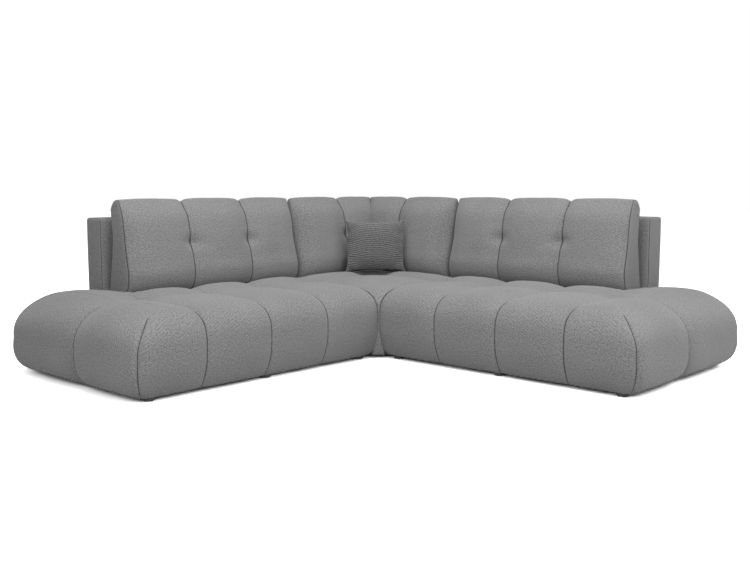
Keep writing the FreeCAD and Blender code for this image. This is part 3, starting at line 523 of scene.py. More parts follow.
@dataclass
class SeatPad:
    """Quilted pad of the seat: a flat top inside rolled sides, with the cells swelled on it.

    Attributes:
        plan: Measures of the sofa.
        front: Roll of the front.
        rear: Roll of the rear.
        free_end: Roll of the free end, on its seams.
        full_end: Roll of the free end, in the middle of its cells.
        corner_radius: Radius of the upright corners.
        rear_corner_slack: Distance that keeps the quilting's seams off the rear corners.
        step: Width of its quads.
        groove: Depth of a seam on a roll.
        groove_width: Width of that seam.
        crease: Depth of a seam on the top.
        crease_width: Width of that seam.
        tuft_depth: Depth of a tuft.
        tuft_width: Width of a tuft.
        button_depth: Depth of the button in a tuft.
        button_width: Width of the button.
    """

    plan: Plan
    front: Roll = Roll(shoulder=0.200, belly=0.235, power=2.75, hem=0.069)
    rear: Roll = Roll(shoulder=0.085, belly=0.190, power=2.8, hem=0.040, tuck=4.0)
    free_end: Roll = Roll(shoulder=0.260, belly=0.215, power=2.1, hem=0.062, tuck=3.7)
    full_end: Roll = Roll(shoulder=0.260, belly=0.195, power=2.5, hem=0.062, tuck=4.2)
    corner_radius: float = 0.052
    rear_corner_slack: float = 0.13
    step: float = 0.0066
    groove: float = 0.0075
    groove_width: float = 0.010
    crease: float = 0.0022
    crease_width: float = 0.02
    tuft_depth: float = 0.016
    tuft_width: float = 0.055
    button_depth: float = 0.007
    button_width: float = 0.012

    def side(self, cloth: Cloth, along: Array, side: Side) -> Array:
        """Add one rolled side.

        Args:
            cloth: Mesh that it is added to.
            along: Lines of the top that run into it.
            side: What the side is.

        Returns:
            Point numbers, a row for each row of the roll.
        """
        rows = side.roll.rows()
        progress = side.roll.progress()
        place = np.repeat(along[None, :], len(rows), axis=0)
        height = np.repeat(rows[:, 1:], len(along), axis=1)
        inset = np.repeat(rows[:, :1], len(along), axis=1)
        if side.fuller is not None:
            swollen = side.fuller.rows()
            inset = inset + (swollen[:, :1] - inset) * side.fullness[None, :]
            height = height + (swollen[:, 1:] - height) * side.fullness[None, :]
        edge = np.full_like(place, FAR)
        away = np.zeros_like(place)
        growth = np.clip(progress, 0, 1)[:, None] ** 0.8
        meets = [meet for meet in ((side.start, side.start_anchor, 0, 1),
                                   (side.finish, side.finish_anchor, -1, -1)) if meet[0] is not None]
        for other, anchor, end, inward in meets:
            share = np.clip((along - anchor) / (along[end] - anchor), 0, 1)[None, :]
            place = place + (other.rows()[:, :1] - other.shoulder) * inward * share
            blend = ramp(share, 0.0, 1.0) / 2
            height = height * (1 - blend) + other.rows()[:, 1:] * blend
        for other, _, end, inward in meets:
            corner = place[:, [end]]
            distance = np.abs(place - corner)
            slack = self.rear_corner_slack if self.rear in (side.roll, other) else 0.0
            edge = np.minimum(edge, distance + slack)
            radius = np.maximum(self.corner_radius * growth, FINE)
            turn = np.clip(1 - distance / radius, 0, 1) * math.pi / 4
            near = corner + inward * radius * (1 - np.sin(turn))
            place = np.where(distance < radius, near, place)
            away = away + radius * (1 - np.cos(turn))
        out = side.belly - side.outward * (inset + away)
        length = side.roll.length()[:, None] + np.zeros_like(place)
        fabric = side.belly - side.outward * (side.roll.shoulder - length)
        if side.along_u:
            points = np.stack([place, out, height], axis=-1)
            weave = np.stack([place, fabric], axis=-1)
        else:
            points = np.stack([out, place, height], axis=-1)
            weave = np.stack([fabric, place], axis=-1)
        return cloth.add(points, weave, u=weave[..., 0], v=weave[..., 1], edge=edge,
                         progress=progress[:, None], along=1.0 if side.along_u else 0.0, side=1.0)

    def tuft(self, away: Array) -> Array:
        """Depth of a tuft and its button, by the distance from its middle."""
        return (self.tuft_depth * dip(away, self.tuft_width)
                + self.button_depth * pinch(away, self.button_width))

    def seam_rise(self, v: Array) -> Array:
        """Height of the seams over the seat, along the depth."""
        knots = [(0.39, self.plan.rest - self.plan.seat), (0.425, -0.004), (0.455, 0.009), (0.49, 0.018),
                 (0.54, 0.016), (self.plan.row, 0.0), (0.75, 0.0035), (0.88, 0.005), (1.02, 0.003),
                 (1.10, 0.0)]
        return table(v, knots, 0.02)

    def front_fullness(self, v: Array) -> Array:
        """Swell of a cell's middle, from the row line over the front roll to its hem.

        Args:
            v: Depth of each point along the cloth.

        Returns:
            Height of each point.
        """
        row = self.plan.row
        knots = [(row, 0.012), (row + 0.08, 0.021), (row + 0.2, 0.027), (row + 0.345, 0.024),
                 (row + 0.62, 0.014), (row + 0.84, 0.001)]
        return table(v, knots, 0.04)

    def rear_fullness(self, v: Array) -> Array:
        """Swell of a cell's middle in the rear row, which the cushions press flat."""
        knots = [(0.40, 0.0), (0.43, 0.003), (0.47, 0.018), (0.51, 0.024), (0.56, 0.022),
                 (self.plan.row, 0.012)]
        return table(v, knots, 0.02)

    def open_fullness(self, v: Array) -> Array:
        """Swell of the rear cell that has no back on it."""
        knots = [(-0.30, 0.001), (0.0, 0.014), (0.11, 0.022), (0.30, 0.028), (0.5, 0.026),
                 (self.plan.row, 0.014)]
        return table(v, knots, 0.04)


@dataclass
class WingPad(SeatPad):
    """Pad of a wing: four cells along, two deep, with a rolled free end.

    Attributes:
        wing: The wing.
        end_detail: Width of the quads near the free end, as a share of the others.
        end_reach: Distance from the row's seam at which the free end is full.
        end_fade: Distance from its corners over which its fullness fades.
        rounds: How often the mesh is relaxed.
        folds: Height of the slow folds.
        pucker: Height of the puckers along the front's seams.
        pucker_length: Distance from one pucker to the next.
        end_belly: Swell of the free end from its shoulder (0) to its hem (2).
    """

    wing: Wing = Wing.RIGHT
    end_detail: float = 0.62
    end_reach: float = 0.20
    end_fade: float = 0.14
    rounds: int = 14
    folds: float = 0.0018
    pucker: float = 0.0011
    pucker_length: float = 0.021
    end_belly: tuple[tuple[float, float], ...] = (
        (0.0, 0.018), (0.5, 0.019), (1.0, 0.010), (1.35, 0.017), (1.7, 0.016), (1.9, 0.007),
        (2.0, 0.0005))

    def build(self) -> bpy.types.Object:
        """Make the pad.

        Returns:
            The pad, placed in the frame.
        """
        plan = self.plan
        near = plan.seams[0]
        last = plan.seams[-1]
        shoulder = plan.end - self.free_end.shoulder
        along = lines(plan.seams[:-1] + [last, shoulder], self.step)
        finer = lines([last, shoulder], self.step * self.end_detail)
        along = np.concatenate([along[along <= last], finer[1:]])
        across = lines([self.rear.shoulder, plan.pressed, plan.row,
                        plan.seat_depth - self.front.shoulder], self.step)
        cloth = Cloth()
        grid_u, grid_v = np.meshgrid(along, across, indexing="ij")
        top = cloth.add(np.stack([grid_u, grid_v, np.full_like(grid_u, plan.seat)], axis=-1),
                        np.stack([grid_u, grid_v], axis=-1), u=grid_u, v=grid_v, edge=FAR,
                        progress=0.0, along=1.0, side=0.0)
        front = self.side(cloth, along, Side(self.front, True, 1, plan.seat_depth,
                                             finish=self.free_end, finish_anchor=last))
        rear = self.side(cloth, along, Side(self.rear, True, -1, 0.0,
                                            finish=self.free_end, finish_anchor=last))
        fullness = pillowing(np.abs(across - plan.row), self.end_reach)
        inside = np.minimum(across - across[0], across[-1] - across)
        fullness = fullness * ramp(inside, 0.0, self.end_fade)
        far = self.side(cloth, across, Side(self.free_end, False, 1, plan.end, start=self.rear,
                                            finish=self.front, start_anchor=plan.row,
                                            finish_anchor=plan.row, fuller=self.full_end,
                                            fullness=fullness))
        cloth.cap(front[::-1, 0], top[0, ::-1], rear[:, 0])
        cloth.cap(front[-1, :], far[-1, ::-1], rear[-1, ::-1])
        cloth.weld()
        value = cloth.value
        free = ramp(cloth.at[:, 0], near + 0.002, near + 0.06) * (value["progress"] < 1.9)
        cloth.relax(free, self.rounds)
        cloth.swell(self.relief(value, cloth.at))
        return cloth.piece(f"{self.wing.value}_seat_pad_quilted", plan.placing(self.wing),
                           self.seam_shade_distance(value))

    def relief(self, value: dict[str, Array], at: Array) -> Array:
        """Height of the quilting over the rolled form.

        Args:
            value: The pad's values at each point.
            at: Place of each point.

        Returns:
            Height of each point along its normal.
        """
        u, v, progress = value["u"], value["v"], value["progress"]
        on_end = value["along"] < 0.5
        height = self.padding(value)
        for depth in self.drawn_in(value):
            height -= depth
        seam = nearest(u, self.plan.seams)
        uneven = self.folds * drift(at, 0.31, 2.0) + self.folds / 2 * drift(at, 0.11, 5.0)
        open_seat = np.where(u > self.plan.seams[-1], 1.0, ramp(v, 0.44, 0.55))
        loose = pillowing(seam, 0.08) * open_seat * self.above_hem(progress)
        height += uneven * loose * (progress < 1.8)
        wave = (v + 0.4 * u) / self.pucker_length * math.tau + 2 * np.sin(v * 40)
        height += self.pucker * np.sin(wave) * pinch(seam, 0.016) * self.front_hold(v) * ~on_end
        return height

    def padding(self, value: dict[str, Array]) -> Array:
        """Height of the padding between the seams.

        Args:
            value: The pad's values at each point.

        Returns:
            Height of each point along its normal.
        """
        plan = self.plan
        half_cell = plan.cell / 2
        u, v, progress = value["u"], value["v"], value["progress"]
        on_end = value["along"] < 0.5
        rear = np.where(u > plan.seams[-1], self.open_fullness(v), self.rear_fullness(v))
        full = np.where(v > plan.row, self.front_fullness(v), rear)
        belly = table(progress, self.end_belly, 0.1)
        full = np.where(on_end, full + (belly - full) * ramp(progress, 0.0, 1.0), full)
        cells = np.where(on_end, 1.0, pillowing(nearest(u, plan.seams), half_cell))
        beside = ramp(u, plan.back_end - 0.005, plan.back_end + 0.055)
        cells = cells + (np.maximum(beside, cells) - cells) * ramp(0.52 - v, 0.0, 0.08) * ~on_end
        beyond = (u > plan.back_end - 0.01) * ramp(0.5 - v, 0.0, 0.04) * ~on_end
        full = full + (self.open_fullness(v) - full) * beyond
        row_hold = np.where(on_end, ramp(progress, 0.15, 1.0), 0.0)
        row_cells = 1 - row_hold * (1 - pillowing(np.abs(v - plan.row), half_cell))
        corner = 1 - ramp(progress, 0.25, 0.95) * (1 - pillowing(value["edge"], half_cell))
        opening = ramp(u, plan.seams[-1] - 0.03, plan.seams[-1] + 0.09) * (v < plan.row)
        base = (self.seam_rise(v) * (1 - opening)
                + 0.004 * opening * ramp(v, 0.0, 0.2) * ramp(plan.row - v, 0.0, 0.1))
        return np.where(on_end, 0.0, base) + full * cells * row_cells * corner

    def drawn_in(self, value: dict[str, Array]) -> Iterator[Array]:
        """Work out what the seams and the tufts draw in, one after the other.

        Args:
            value: The pad's values at each point.

        Yields:
            Depth of each point below the padding.
        """
        plan = self.plan
        u, v, progress = value["u"], value["v"], value["progress"]
        on_end = value["along"] < 0.5
        groove = self.groove * self.above_hem(progress)
        seam = nearest(u, plan.seams)
        yield groove * self.front_hold(v) * ~on_end * pinch(seam, self.groove_width)
        yield self.crease * np.where(on_end | (v < 0.43), 0.0, 1.0) * pinch(seam, self.crease_width)
        row = pinch(np.abs(v - plan.row), self.groove_width)
        yield groove * ramp(progress, 0.05, 0.30) * on_end * row
        yield groove * ramp(progress, 0.22, 0.50) * pinch(value["edge"], self.groove_width)
        on_side = np.where(value["side"] > 0.5, FAR, 0.0)
        for place in plan.seams:
            yield self.tuft(np.hypot(u - place, v - plan.row) + on_side)

    def above_hem(self, progress: Array) -> Array:
        """1 on the pad, and 0 at its hem."""
        return 1 - ramp(progress, 1.55, 1.95)

    def front_hold(self, v: Array) -> Array:
        """How tightly the front's seams are drawn in: nothing on the top, full on the roll."""
        return ramp(v, self.plan.seat_depth - 0.23, self.plan.seat_depth - 0.11)

    def seam_shade_distance(self, value: dict[str, Array]) -> Array:
        """Find the nearest visible line of stitches.

        Args:
            value: The pad's values at each point.

        Returns:
            Distance of each point from it.
        """
        u, v, progress = value["u"], value["v"], value["progress"]
        on_end = value["along"] < 0.5
        # The material paints shade along these lines, as the seams' grooves would be in shade
        front = nearest(u, self.plan.seams) + (1 - self.front_hold(v)) * HIDDEN
        row = np.abs(v - self.plan.row) + (1 - ramp(progress, 0.05, 0.30)) * HIDDEN
        corner = value["edge"] + (1 - ramp(progress, 0.22, 0.45)) * HIDDEN
        return np.min([front + on_end, row + ~on_end, corner], axis=0)


@dataclass
class CornerPad(SeatPad):
    """Pad of the corner, which runs down between the two wings as a narrow wedge.

    Attributes:
        swell: Height of its padding.
        hollow: Depth of the hollow under the throw pillow.
        hollow_place: Place of the hollow from both rears.
        hollow_width: Width of the hollow.
        row_dip: How far the rows' seams draw the top down.
        row_dip_width: Width of those dips.
        wedge: Width of the wedge under the belly, as a share of the front's inset.
    """

    swell: float = 0.027
    hollow: float = 0.022
    hollow_place: float = 0.60
    hollow_width: float = 0.12
    row_dip: float = 0.004
    row_dip_width: float = 0.03
    wedge: float = 0.62

    def build(self) -> bpy.types.Object:
        """Make the pad.

        Returns:
            The pad, placed in the frame.
        """
        plan = self.plan
        depth = plan.seat_depth
        profile = self.front.rows()
        upper = self.front.upper_rows + 1
        roll_lines = depth - profile[1:upper, 0]
        inner = lines([self.rear.shoulder, plan.pressed, plan.row, depth - self.front.shoulder],
                      self.step)
        across = np.concatenate([inner, roll_lines])
        cloth = Cloth()
        grid_u, grid_v = np.meshgrid(across, across, indexing="ij")
        reach = grid_u + grid_v - depth
        order = np.argsort(depth - profile[:upper, 0])
        height = np.interp(reach, (depth - profile[:upper, 0])[order], profile[:upper, 1][order])
        top = cloth.add(np.stack([grid_u, grid_v, height], axis=-1),
                        np.stack([grid_u, grid_v], axis=-1), u=grid_u, v=grid_v, edge=FAR,
                        progress=0.0, side=0.0, along=1.0)
        rear = self.side(cloth, across, Side(self.rear, True, -1, 0.0, start=self.rear,
                                             start_anchor=plan.row))
        side = self.side(cloth, across, Side(self.rear, False, -1, 0.0, start=self.rear,
                                             start_anchor=plan.row))
        lower = profile[upper - 1:]
        share = np.linspace(0, 1, 7)
        inset = lower[:, :1] * self.wedge
        strip = np.stack([depth - inset * (1 - share), depth - inset * share,
                          lower[:, 1:] + 0 * share], axis=-1)
        weave = strip[..., [0, 2]]
        strip_numbers = cloth.add(strip, weave, u=strip[..., 0], v=strip[..., 1], edge=FAR,
                                  progress=2.0, side=1.0, along=1.0)
        cloth.cap(rear[::-1, -1], top[-1, :], strip_numbers[:, -1])
        cloth.cap(side[::-1, -1], top[:, -1], strip_numbers[:, 0])
        cloth.cap(rear[-1, :], strip_numbers[-1, ::-1], side[-1, ::-1])
        cloth.weld()
        value = cloth.value
        cloth.swell(self.relief(value, cloth.at))
        # Painted shade: the material darkens the cloth near the edge seams by this distance
        painted_shade_distance = value["edge"] + (1 - ramp(value["progress"], 0.4, 0.8)) * HIDDEN
        return cloth.piece("corner_seat_pad_quilted", plan.right, painted_shade_distance)

    def relief(self, value: dict[str, Array], at: Array) -> Array:
        """Height of the quilting over the rolled form.

        Args:
            value: The pad's values at each point.
            at: Place of each point; not used.

        Returns:
            Height of each point along its normal.
        """
        plan = self.plan
        u, v = value["u"], value["v"]
        base = np.clip(self.seam_rise(u) + self.seam_rise(v), plan.rest - plan.seat, 0.018)
        middle = self.fullness(u) * self.fullness(v)
        height = base + self.swell * middle
        away = np.hypot(u - self.hollow_place, v - self.hollow_place)
        height -= self.hollow * dip(away, self.hollow_width)
        for across, along in ((u, v), (v, u)):
            row_dip = self.row_dip * dip(np.abs(across - plan.row), self.row_dip_width)
            height -= row_dip * ramp(along, 0.44, 0.55)
        away = np.hypot(u - plan.row, v - plan.row)
        height -= 0.8 * self.tuft_depth * dip(away, self.tuft_width)
        for across, along in ((u, v), (v, u)):
            height -= self.tuft(np.hypot(across - plan.seat_depth, along - plan.row))
        crease = self.crease * pinch(plan.seat_depth - np.maximum(u, v), self.crease_width)
        height -= crease * ramp(np.minimum(u, v), 0.43, 0.5)
        return np.where(value["side"] > 0.5, 0.0, height)

    def fullness(self, place: Array) -> Array:
        """Share of the swell across the pad: flat under the cushions, full in each cell."""
        knots = [(0.40, 0.0), (0.44, 0.35), (0.52, 0.80), (self.plan.row, 0.45), (0.74, 0.85),
                 (0.90, 1.0), (1.05, 0.78), (1.13, 0.4), (self.plan.seat_depth, 0.0)]
        return table(place, knots, 0.025) * (place < self.plan.seat_depth - FINE)


# Back cushions


@dataclass(frozen=True)
class Outline:
    """Section of a back cushion: depths of its front and rear at set heights.

    Attributes:
        front: Depth of the front at its foot, at each of its heights and at its top.
        rear: Depth of the rear at its shoulder, at each of its heights and at its foot.
        top: Height of the top.
        foot_height: Height of the underside.
        front_heights: Heights at which the front is given.
        front_parts: Rows of quads between them.
        rear_heights: Heights at which the rear is given.
        rear_parts: Rows of quads between them.
        cross_rows: Rows of quads across the underside, and across the top.
        crest: How far the crest and then the shoulder lie under the top.
        crest_share: Share of the front's depth in the crest's.
    """

    front: tuple[float, ...]
    rear: tuple[float, ...]
    top: float
    foot_height: float = 0.3975
    front_heights: tuple[float, ...] = (0.430, 0.500, 0.580, 0.668, 0.741, 0.820)
    front_parts: tuple[int, ...] = (5, 10, 11, 12, 11, 11, 14)
    rear_heights: tuple[float, ...] = (0.668, 0.540)
    rear_parts: tuple[int, ...] = (30, 20, 24)
    cross_rows: int = 14
    crest: tuple[float, float] = (0.002, 0.045)
    crest_share: float = 0.45

    @property
    def rear_rows(self) -> int:
        """Rows of the front, and of the rear."""
        return sum(self.rear_parts)

    def loop(self) -> Array:
        """Lay the closed outline: bottom, front, top and rear.

        Returns:
            Its points, with the first one again at the end.
        """
        low = self.foot_height
        heights = (low, *self.front_heights, self.top)
        front = smooth_curve(np.array(list(zip(self.front, heights))), self.front_parts)
        shoulder = (self.rear[0], self.top - self.crest[1])
        crest = (self.front[-1] * self.crest_share + self.rear[0] * (1 - self.crest_share),
                 self.top - self.crest[0])
        top = smooth_curve(np.array([front[-1], crest, shoulder]), (6, 8))
        heights = (shoulder[1], *self.rear_heights, low)
        rear = smooth_curve(np.array(list(zip(self.rear, heights))), self.rear_parts)
        share = np.linspace(0, 1, self.cross_rows + 1)[:, None]
        bottom = rear[-1:] * (1 - share) + front[:1] * share
        return np.concatenate([bottom, front[1:], top[1:], rear[1:]])


@dataclass
class BackCushion:
    """Loose back cushion with channels, standing on the seat and leaning on the back.

    Attributes:
        plan: Measures of the sofa.
        wing: Wing that it stands on.
        name: Its object's name.
        start: Its end towards the corner.
        finish: Its other end.
        seams: Places of the seams between its channels.
        mitred: Whether its start is cut along the sofa's diagonal.
        start_bulge: How far the panel at its start stands out.
        finish_bulge: How far the panel at its finish stands out.
        seam: Section on a seam between two channels.
        crown: Section in the middle of a channel.
        end: Section at the free end.
        gap: Section where it meets another cushion.
        step: Width of its quads.
        rounds: How often its mesh is relaxed.
        panel: Depth and height of the panel that closes an end.
        mitre_gap: How far the mitre stays off the diagonal.
        channel_power: How soon a channel rises from its seams.
        groove: Depth of a seam on the front.
        groove_width: Width of that seam.
        top_dip: How far a seam draws the top down.
        top_dip_width: Width of that dip.
        tuft_height: Height of the tuft on each seam.
        tuft_depth: Depth of the tuft.
        tuft_width: Width of the tuft.
        button_depth: Depth of the button in the tuft.
        button_width: Width of the button.
        folds: Height of the broad folds.
        creases: Height of the small ones.
        piping: Depth of the seam round an end.
        piping_width: Width of that seam.
    """

    plan: Plan
    wing: Wing
    name: str
    start: float
    finish: float
    seams: Sequence[float]
    mitred: bool = False
    start_bulge: float = 0.004
    finish_bulge: float = 0.004
    seam: Outline = Outline((0.345, 0.370, 0.386, 0.374, 0.354, 0.340, 0.320, 0.268),
                            (0.212, 0.214, 0.198, 0.172), 0.905)
    crown: Outline = Outline((0.352, 0.402, 0.423, 0.411, 0.396, 0.381, 0.358, 0.276),
                             (0.204, 0.200, 0.180, 0.160), 0.916)
    end: Outline = Outline((0.338, 0.358, 0.372, 0.358, 0.342, 0.335, 0.323, 0.290),
                           (0.208, 0.220, 0.198, 0.174), 0.909)
    gap: Outline = Outline((0.320, 0.334, 0.340, 0.316, 0.290, 0.283, 0.268, 0.240),
                           (0.208, 0.208, 0.194, 0.170), 0.907)
    step: float = 0.0068
    rounds: int = 5
    panel: tuple[float, float] = (0.17, 0.5)
    mitre_gap: float = 0.0007
    channel_power: float = 3.2
    groove: float = 0.005
    groove_width: float = 0.006
    top_dip: float = 0.007
    top_dip_width: float = 0.022
    tuft_height: float = 0.668
    tuft_depth: float = 0.015
    tuft_width: float = 0.048
    button_depth: float = 0.002
    button_width: float = 0.012
    folds: float = 0.0020
    creases: float = 0.0009
    piping: float = 0.002
    piping_width: float = 0.004

    def build(self) -> bpy.types.Object:
        """Make the cushion.

        Returns:
            The cushion, placed in the frame.
        """
        place, section = self._sections()
        points = np.concatenate([place[:, :, None], section], axis=2)
        steps = np.linalg.norm(np.diff(self.crown.loop(), axis=0), axis=1)
        length = np.concatenate([[0.0], np.cumsum(steps)])
        weave = np.stack([place, np.repeat(length[:, None], place.shape[1], axis=1)], axis=-1)
        cloth = Cloth()
        ends = np.minimum(place - place[:, :1], place[:, -1:] - place)
        cloth.add(points, weave, u=place, end=ends)
        self._cheek(cloth, points[:, 0], 0.0 if self.mitred else self.start_bulge, -1)
        self._cheek(cloth, points[:, -1], self.finish_bulge, 1)
        cloth.weld()
        value = cloth.value
        foot = cloth.at[:, 2] > self.plan.rest + 0.004
        loose = np.where(value["end"] < 0.002, 0.25 * foot, 1.0)
        on_mitre = self.mitred & (cloth.at[:, 0] < cloth.at[:, 1] + 0.002)
        cloth.relax(np.where(on_mitre, 0.0, loose), self.rounds)
        cloth.swell(self.relief(value, cloth.at))
        seam = nearest(value["u"], self.seams)
        facing = ramp(cloth.at[:, 1], 0.22, 0.26)
        inner = np.where(self.mitred | (value["u"] < self.seams[0]), 1.0, 0.0)
        # Painted shade: the material darkens the cloth near the channels' seams and round the end panels
        # by this distance
        painted_shade_distance = np.minimum(seam + (1 - facing) * HIDDEN, value["end"] + inner)
        return cloth.piece(self.name, self.plan.placing(self.wing), painted_shade_distance)

    def _sections(self) -> tuple[Array, Array]:
        """Lay the channels side by side.

        Returns:
            Place of each point along the wing, (rows, columns), and its depth and height.
        """
        crown, gap = self.crown.loop(), self.gap.loop()
        edges = [self.start, *self.seams, self.finish]
        outlines = [gap, *[self.seam.loop()] * len(self.seams), gap if self.mitred else self.end.loop()]
        places, sections = [], []
        for number, (low, high) in enumerate(zip(edges, edges[1:])):
            count = max(8, round((high - low) / self.step))
            share = np.linspace(0, 1, count + 1)
            share = share if number == len(edges) - 2 else share[:-1]
            lowest = np.full(len(crown), low)
            if self.mitred and number == 0:
                lowest = gap[:, 0] + self.mitre_gap
            fullness = pillowing(np.minimum(share, 1 - share), 0.5, self.channel_power)[None, :, None]
            near = np.where((share < 0.5)[None, :, None], outlines[number][:, None, :],
                            outlines[number + 1][:, None, :])
            sections.append(near + (crown[:, None, :] - near) * fullness)
            places.append(lowest[:, None] + (high - lowest)[:, None] * share[None, :])
        return np.concatenate(places, axis=1), np.concatenate(sections, axis=1)

    def _cheek(self, cloth: Cloth, loop: Array, bulge: float, outward: int) -> None:
        """Close one end with its boxed panel.

        Args:
            cloth: Mesh that it is added to.
            loop: The end's outline, (rows, 3).
            bulge: How far the panel's middle stands out.
            outward: -1 at the start, 1 at the finish.
        """
        cross, rise = self.crown.cross_rows, self.crown.rear_rows
        front = loop[cross:cross + rise + 1]
        rear = loop[cross + rise + cross:][::-1]
        top = loop[cross + rise:cross + rise + cross + 1][::-1]
        share = np.linspace(0, 1, cross + 1)[None, :, None]
        up = np.linspace(0, 1, rise + 1)[:, None, None]
        face = rear[:, None, :] * (1 - share) + front[:, None, :] * share
        face = face + (top[None, :, :] - face[-1:, :, :]) * up ** 6
        face[-1], face[0] = top, loop[:cross + 1]
        arch = (4 * share * (1 - share) * (1 - (2 * up - 1) ** 6))[:, :, 0]
        swollen = face.copy()
        swollen[:, :, 0] += outward * bulge * arch ** 0.6
        width = np.minimum(share[:, :, 0], 1 - share[:, :, 0]) * self.panel[0] + 0 * up[:, :, 0]
        height = np.minimum(up[:, :, 0], 1 - up[:, :, 0]) * self.panel[1]
        weave = face[..., 1:] + np.array([7.0 * outward, 0.0])
        cloth.add(swollen, weave, u=swollen[..., 0], end=np.minimum(width, height))

    def relief(self, value: dict[str, Array], at: Array) -> Array:
        """Height of the channels' seams, tufts and folds over the padded form.

        Args:
            value: The cushion's values at each point.
            at: Place of each point.

        Returns:
            Height of each point along its normal.
        """
        seam = nearest(value["u"], self.seams)
        facing = ramp(at[:, 1], 0.20, 0.27)
        height = -self.groove * pinch(seam, self.groove_width) * facing
        height -= self.top_dip * dip(seam, self.top_dip_width) * ramp(at[:, 2], 0.83, 0.875)
        for place in self.seams:
            away = np.hypot((value["u"] - place) / 1.25, (at[:, 2] - self.tuft_height) * 1.35)
            tuft = self.tuft_depth * dip(away, self.tuft_width)
            height -= (tuft + self.button_depth * pinch(away, self.button_width)) * facing
        clear = ramp(np.minimum(seam, value["end"]), 0.004, 0.05) * facing
        height += (self.folds * drift(at, 0.27, 3.0) + self.creases * drift(at, 0.09, 1.0)) * clear
        height -= self.piping * pinch(value["end"], self.piping_width)
        return np.where(at[:, 2] < self.plan.rest + 0.002, 0.0, height)


# Boxes of foam and fabric


def soft_block(low: Vector, high: Vector, radius: float, crown: float, step: float,
               rounds: int = 4) -> Cloth:
    """Make a rounded block whose faces swell a little.

    Args:
        low: Lowest corner of its box.
        high: Highest corner of its box.
        radius: Radius of its edges.
        crown: How far the middle of each face stands out, inside the box.
        step: Size of its quads.
        rounds: Rows of quads on each rounded edge.

    Returns:
        The welded mesh, with each point's distance from its edges as "edge".
    """
    low, high = np.array(low), np.array(high)
    core_low, core_high = low + radius + crown, high - radius - crown
    cloth = Cloth()
    grown_low, grown_high = low + crown, high - crown
    axis_lines = []
    for axis in range(3):
        start = np.linspace(grown_low[axis], core_low[axis], rounds + 1)
        stop = np.linspace(core_high[axis], grown_high[axis], rounds + 1)
        count = max(2, round((core_high[axis] - core_low[axis]) / step))
        middle = np.linspace(core_low[axis], core_high[axis], count + 1)
        axis_lines.append(np.concatenate([start[:-1], middle, stop[1:]]))
    centre, half = (low + high) / 2, (grown_high - grown_low) / 2
    for axis in range(3):
        first, second = [number for number in range(3) if number != axis]
        for level in (grown_low[axis], grown_high[axis]):
            grid_a, grid_b = np.meshgrid(axis_lines[first], axis_lines[second], indexing="ij")
            points = np.empty(grid_a.shape + (3,))
            points[..., first], points[..., second], points[..., axis] = grid_a, grid_b, level
            edge = np.minimum(half[first] - np.abs(grid_a - centre[first]),
                              half[second] - np.abs(grid_b - centre[second]))
            inner = np.clip(points, core_low, core_high)
            away = points - inner
            away = away / np.maximum(np.linalg.norm(away, axis=-1, keepdims=True), TINY)
            points = inner + away * radius
            share = 1 - (np.abs(grid_a - centre[first]) / half[first]) ** 4
            share = share * (1 - (np.abs(grid_b - centre[second]) / half[second]) ** 4)
            points = points + away * (crown * np.clip(share, 0, 1))[..., None]
            weave = np.stack([grid_a + 3.0 * axis, grid_b], axis=-1)
            cloth.add(points, weave, edge=edge)
    cloth.weld()
    return cloth


@dataclass
class BackPanel:
    """Slim upholstered panel of the back.

    Attributes:
        node: Node that it stands for.
        reach: How far it passes the node's box along x, y and z, by the sign of each.
        sunk: How far it reaches down into the seat.
        radius: Radius of its edges.
        crown: How far its faces stand out.
        step: Size of its quads.
        piping: Depth of the seam along its edges.
        piping_width: Width of that seam.
    """

    node: str
    reach: tuple[float, float, float]
    sunk: float = 0.012
    radius: float = 0.013
    crown: float = 0.003
    step: float = 0.010
    piping: float = 0.0012
    piping_width: float = 0.003

    def build(self) -> bpy.types.Object:
        """Make the panel in the place of its node.

        Returns:
            The panel.
        """
        low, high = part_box(self.node)
        low = low + Vector([min(side, 0.0) for side in self.reach]) - Vector((0.0, 0.0, self.sunk))
        high = high + Vector([max(side, 0.0) for side in self.reach])
        block = soft_block(low, high, self.radius, self.crown, self.step)
        inset = block.value["edge"]
        block.swell(-self.piping * pinch(inset, self.piping_width))
        # Painted shade: the material darkens the cloth along the panel's edges, by their distance
        return block.piece(f"{self.node}_upholstered", lambda points: points, inset)


@dataclass
class FoamBlock:
    """Block of foam inside a cushion or the seat."""

    node: str
    radius: float = 0.010
    crown: float = 0.0015
    step: float = 0.030

    def build(self) -> bpy.types.Object:
        """Make the block in the place of its node.

        Returns:
            The block.
        """
        low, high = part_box(self.node)
        block = soft_block(low, high, self.radius, self.crown, self.step)
        return block.piece(f"{self.node}_foam", lambda points: points)


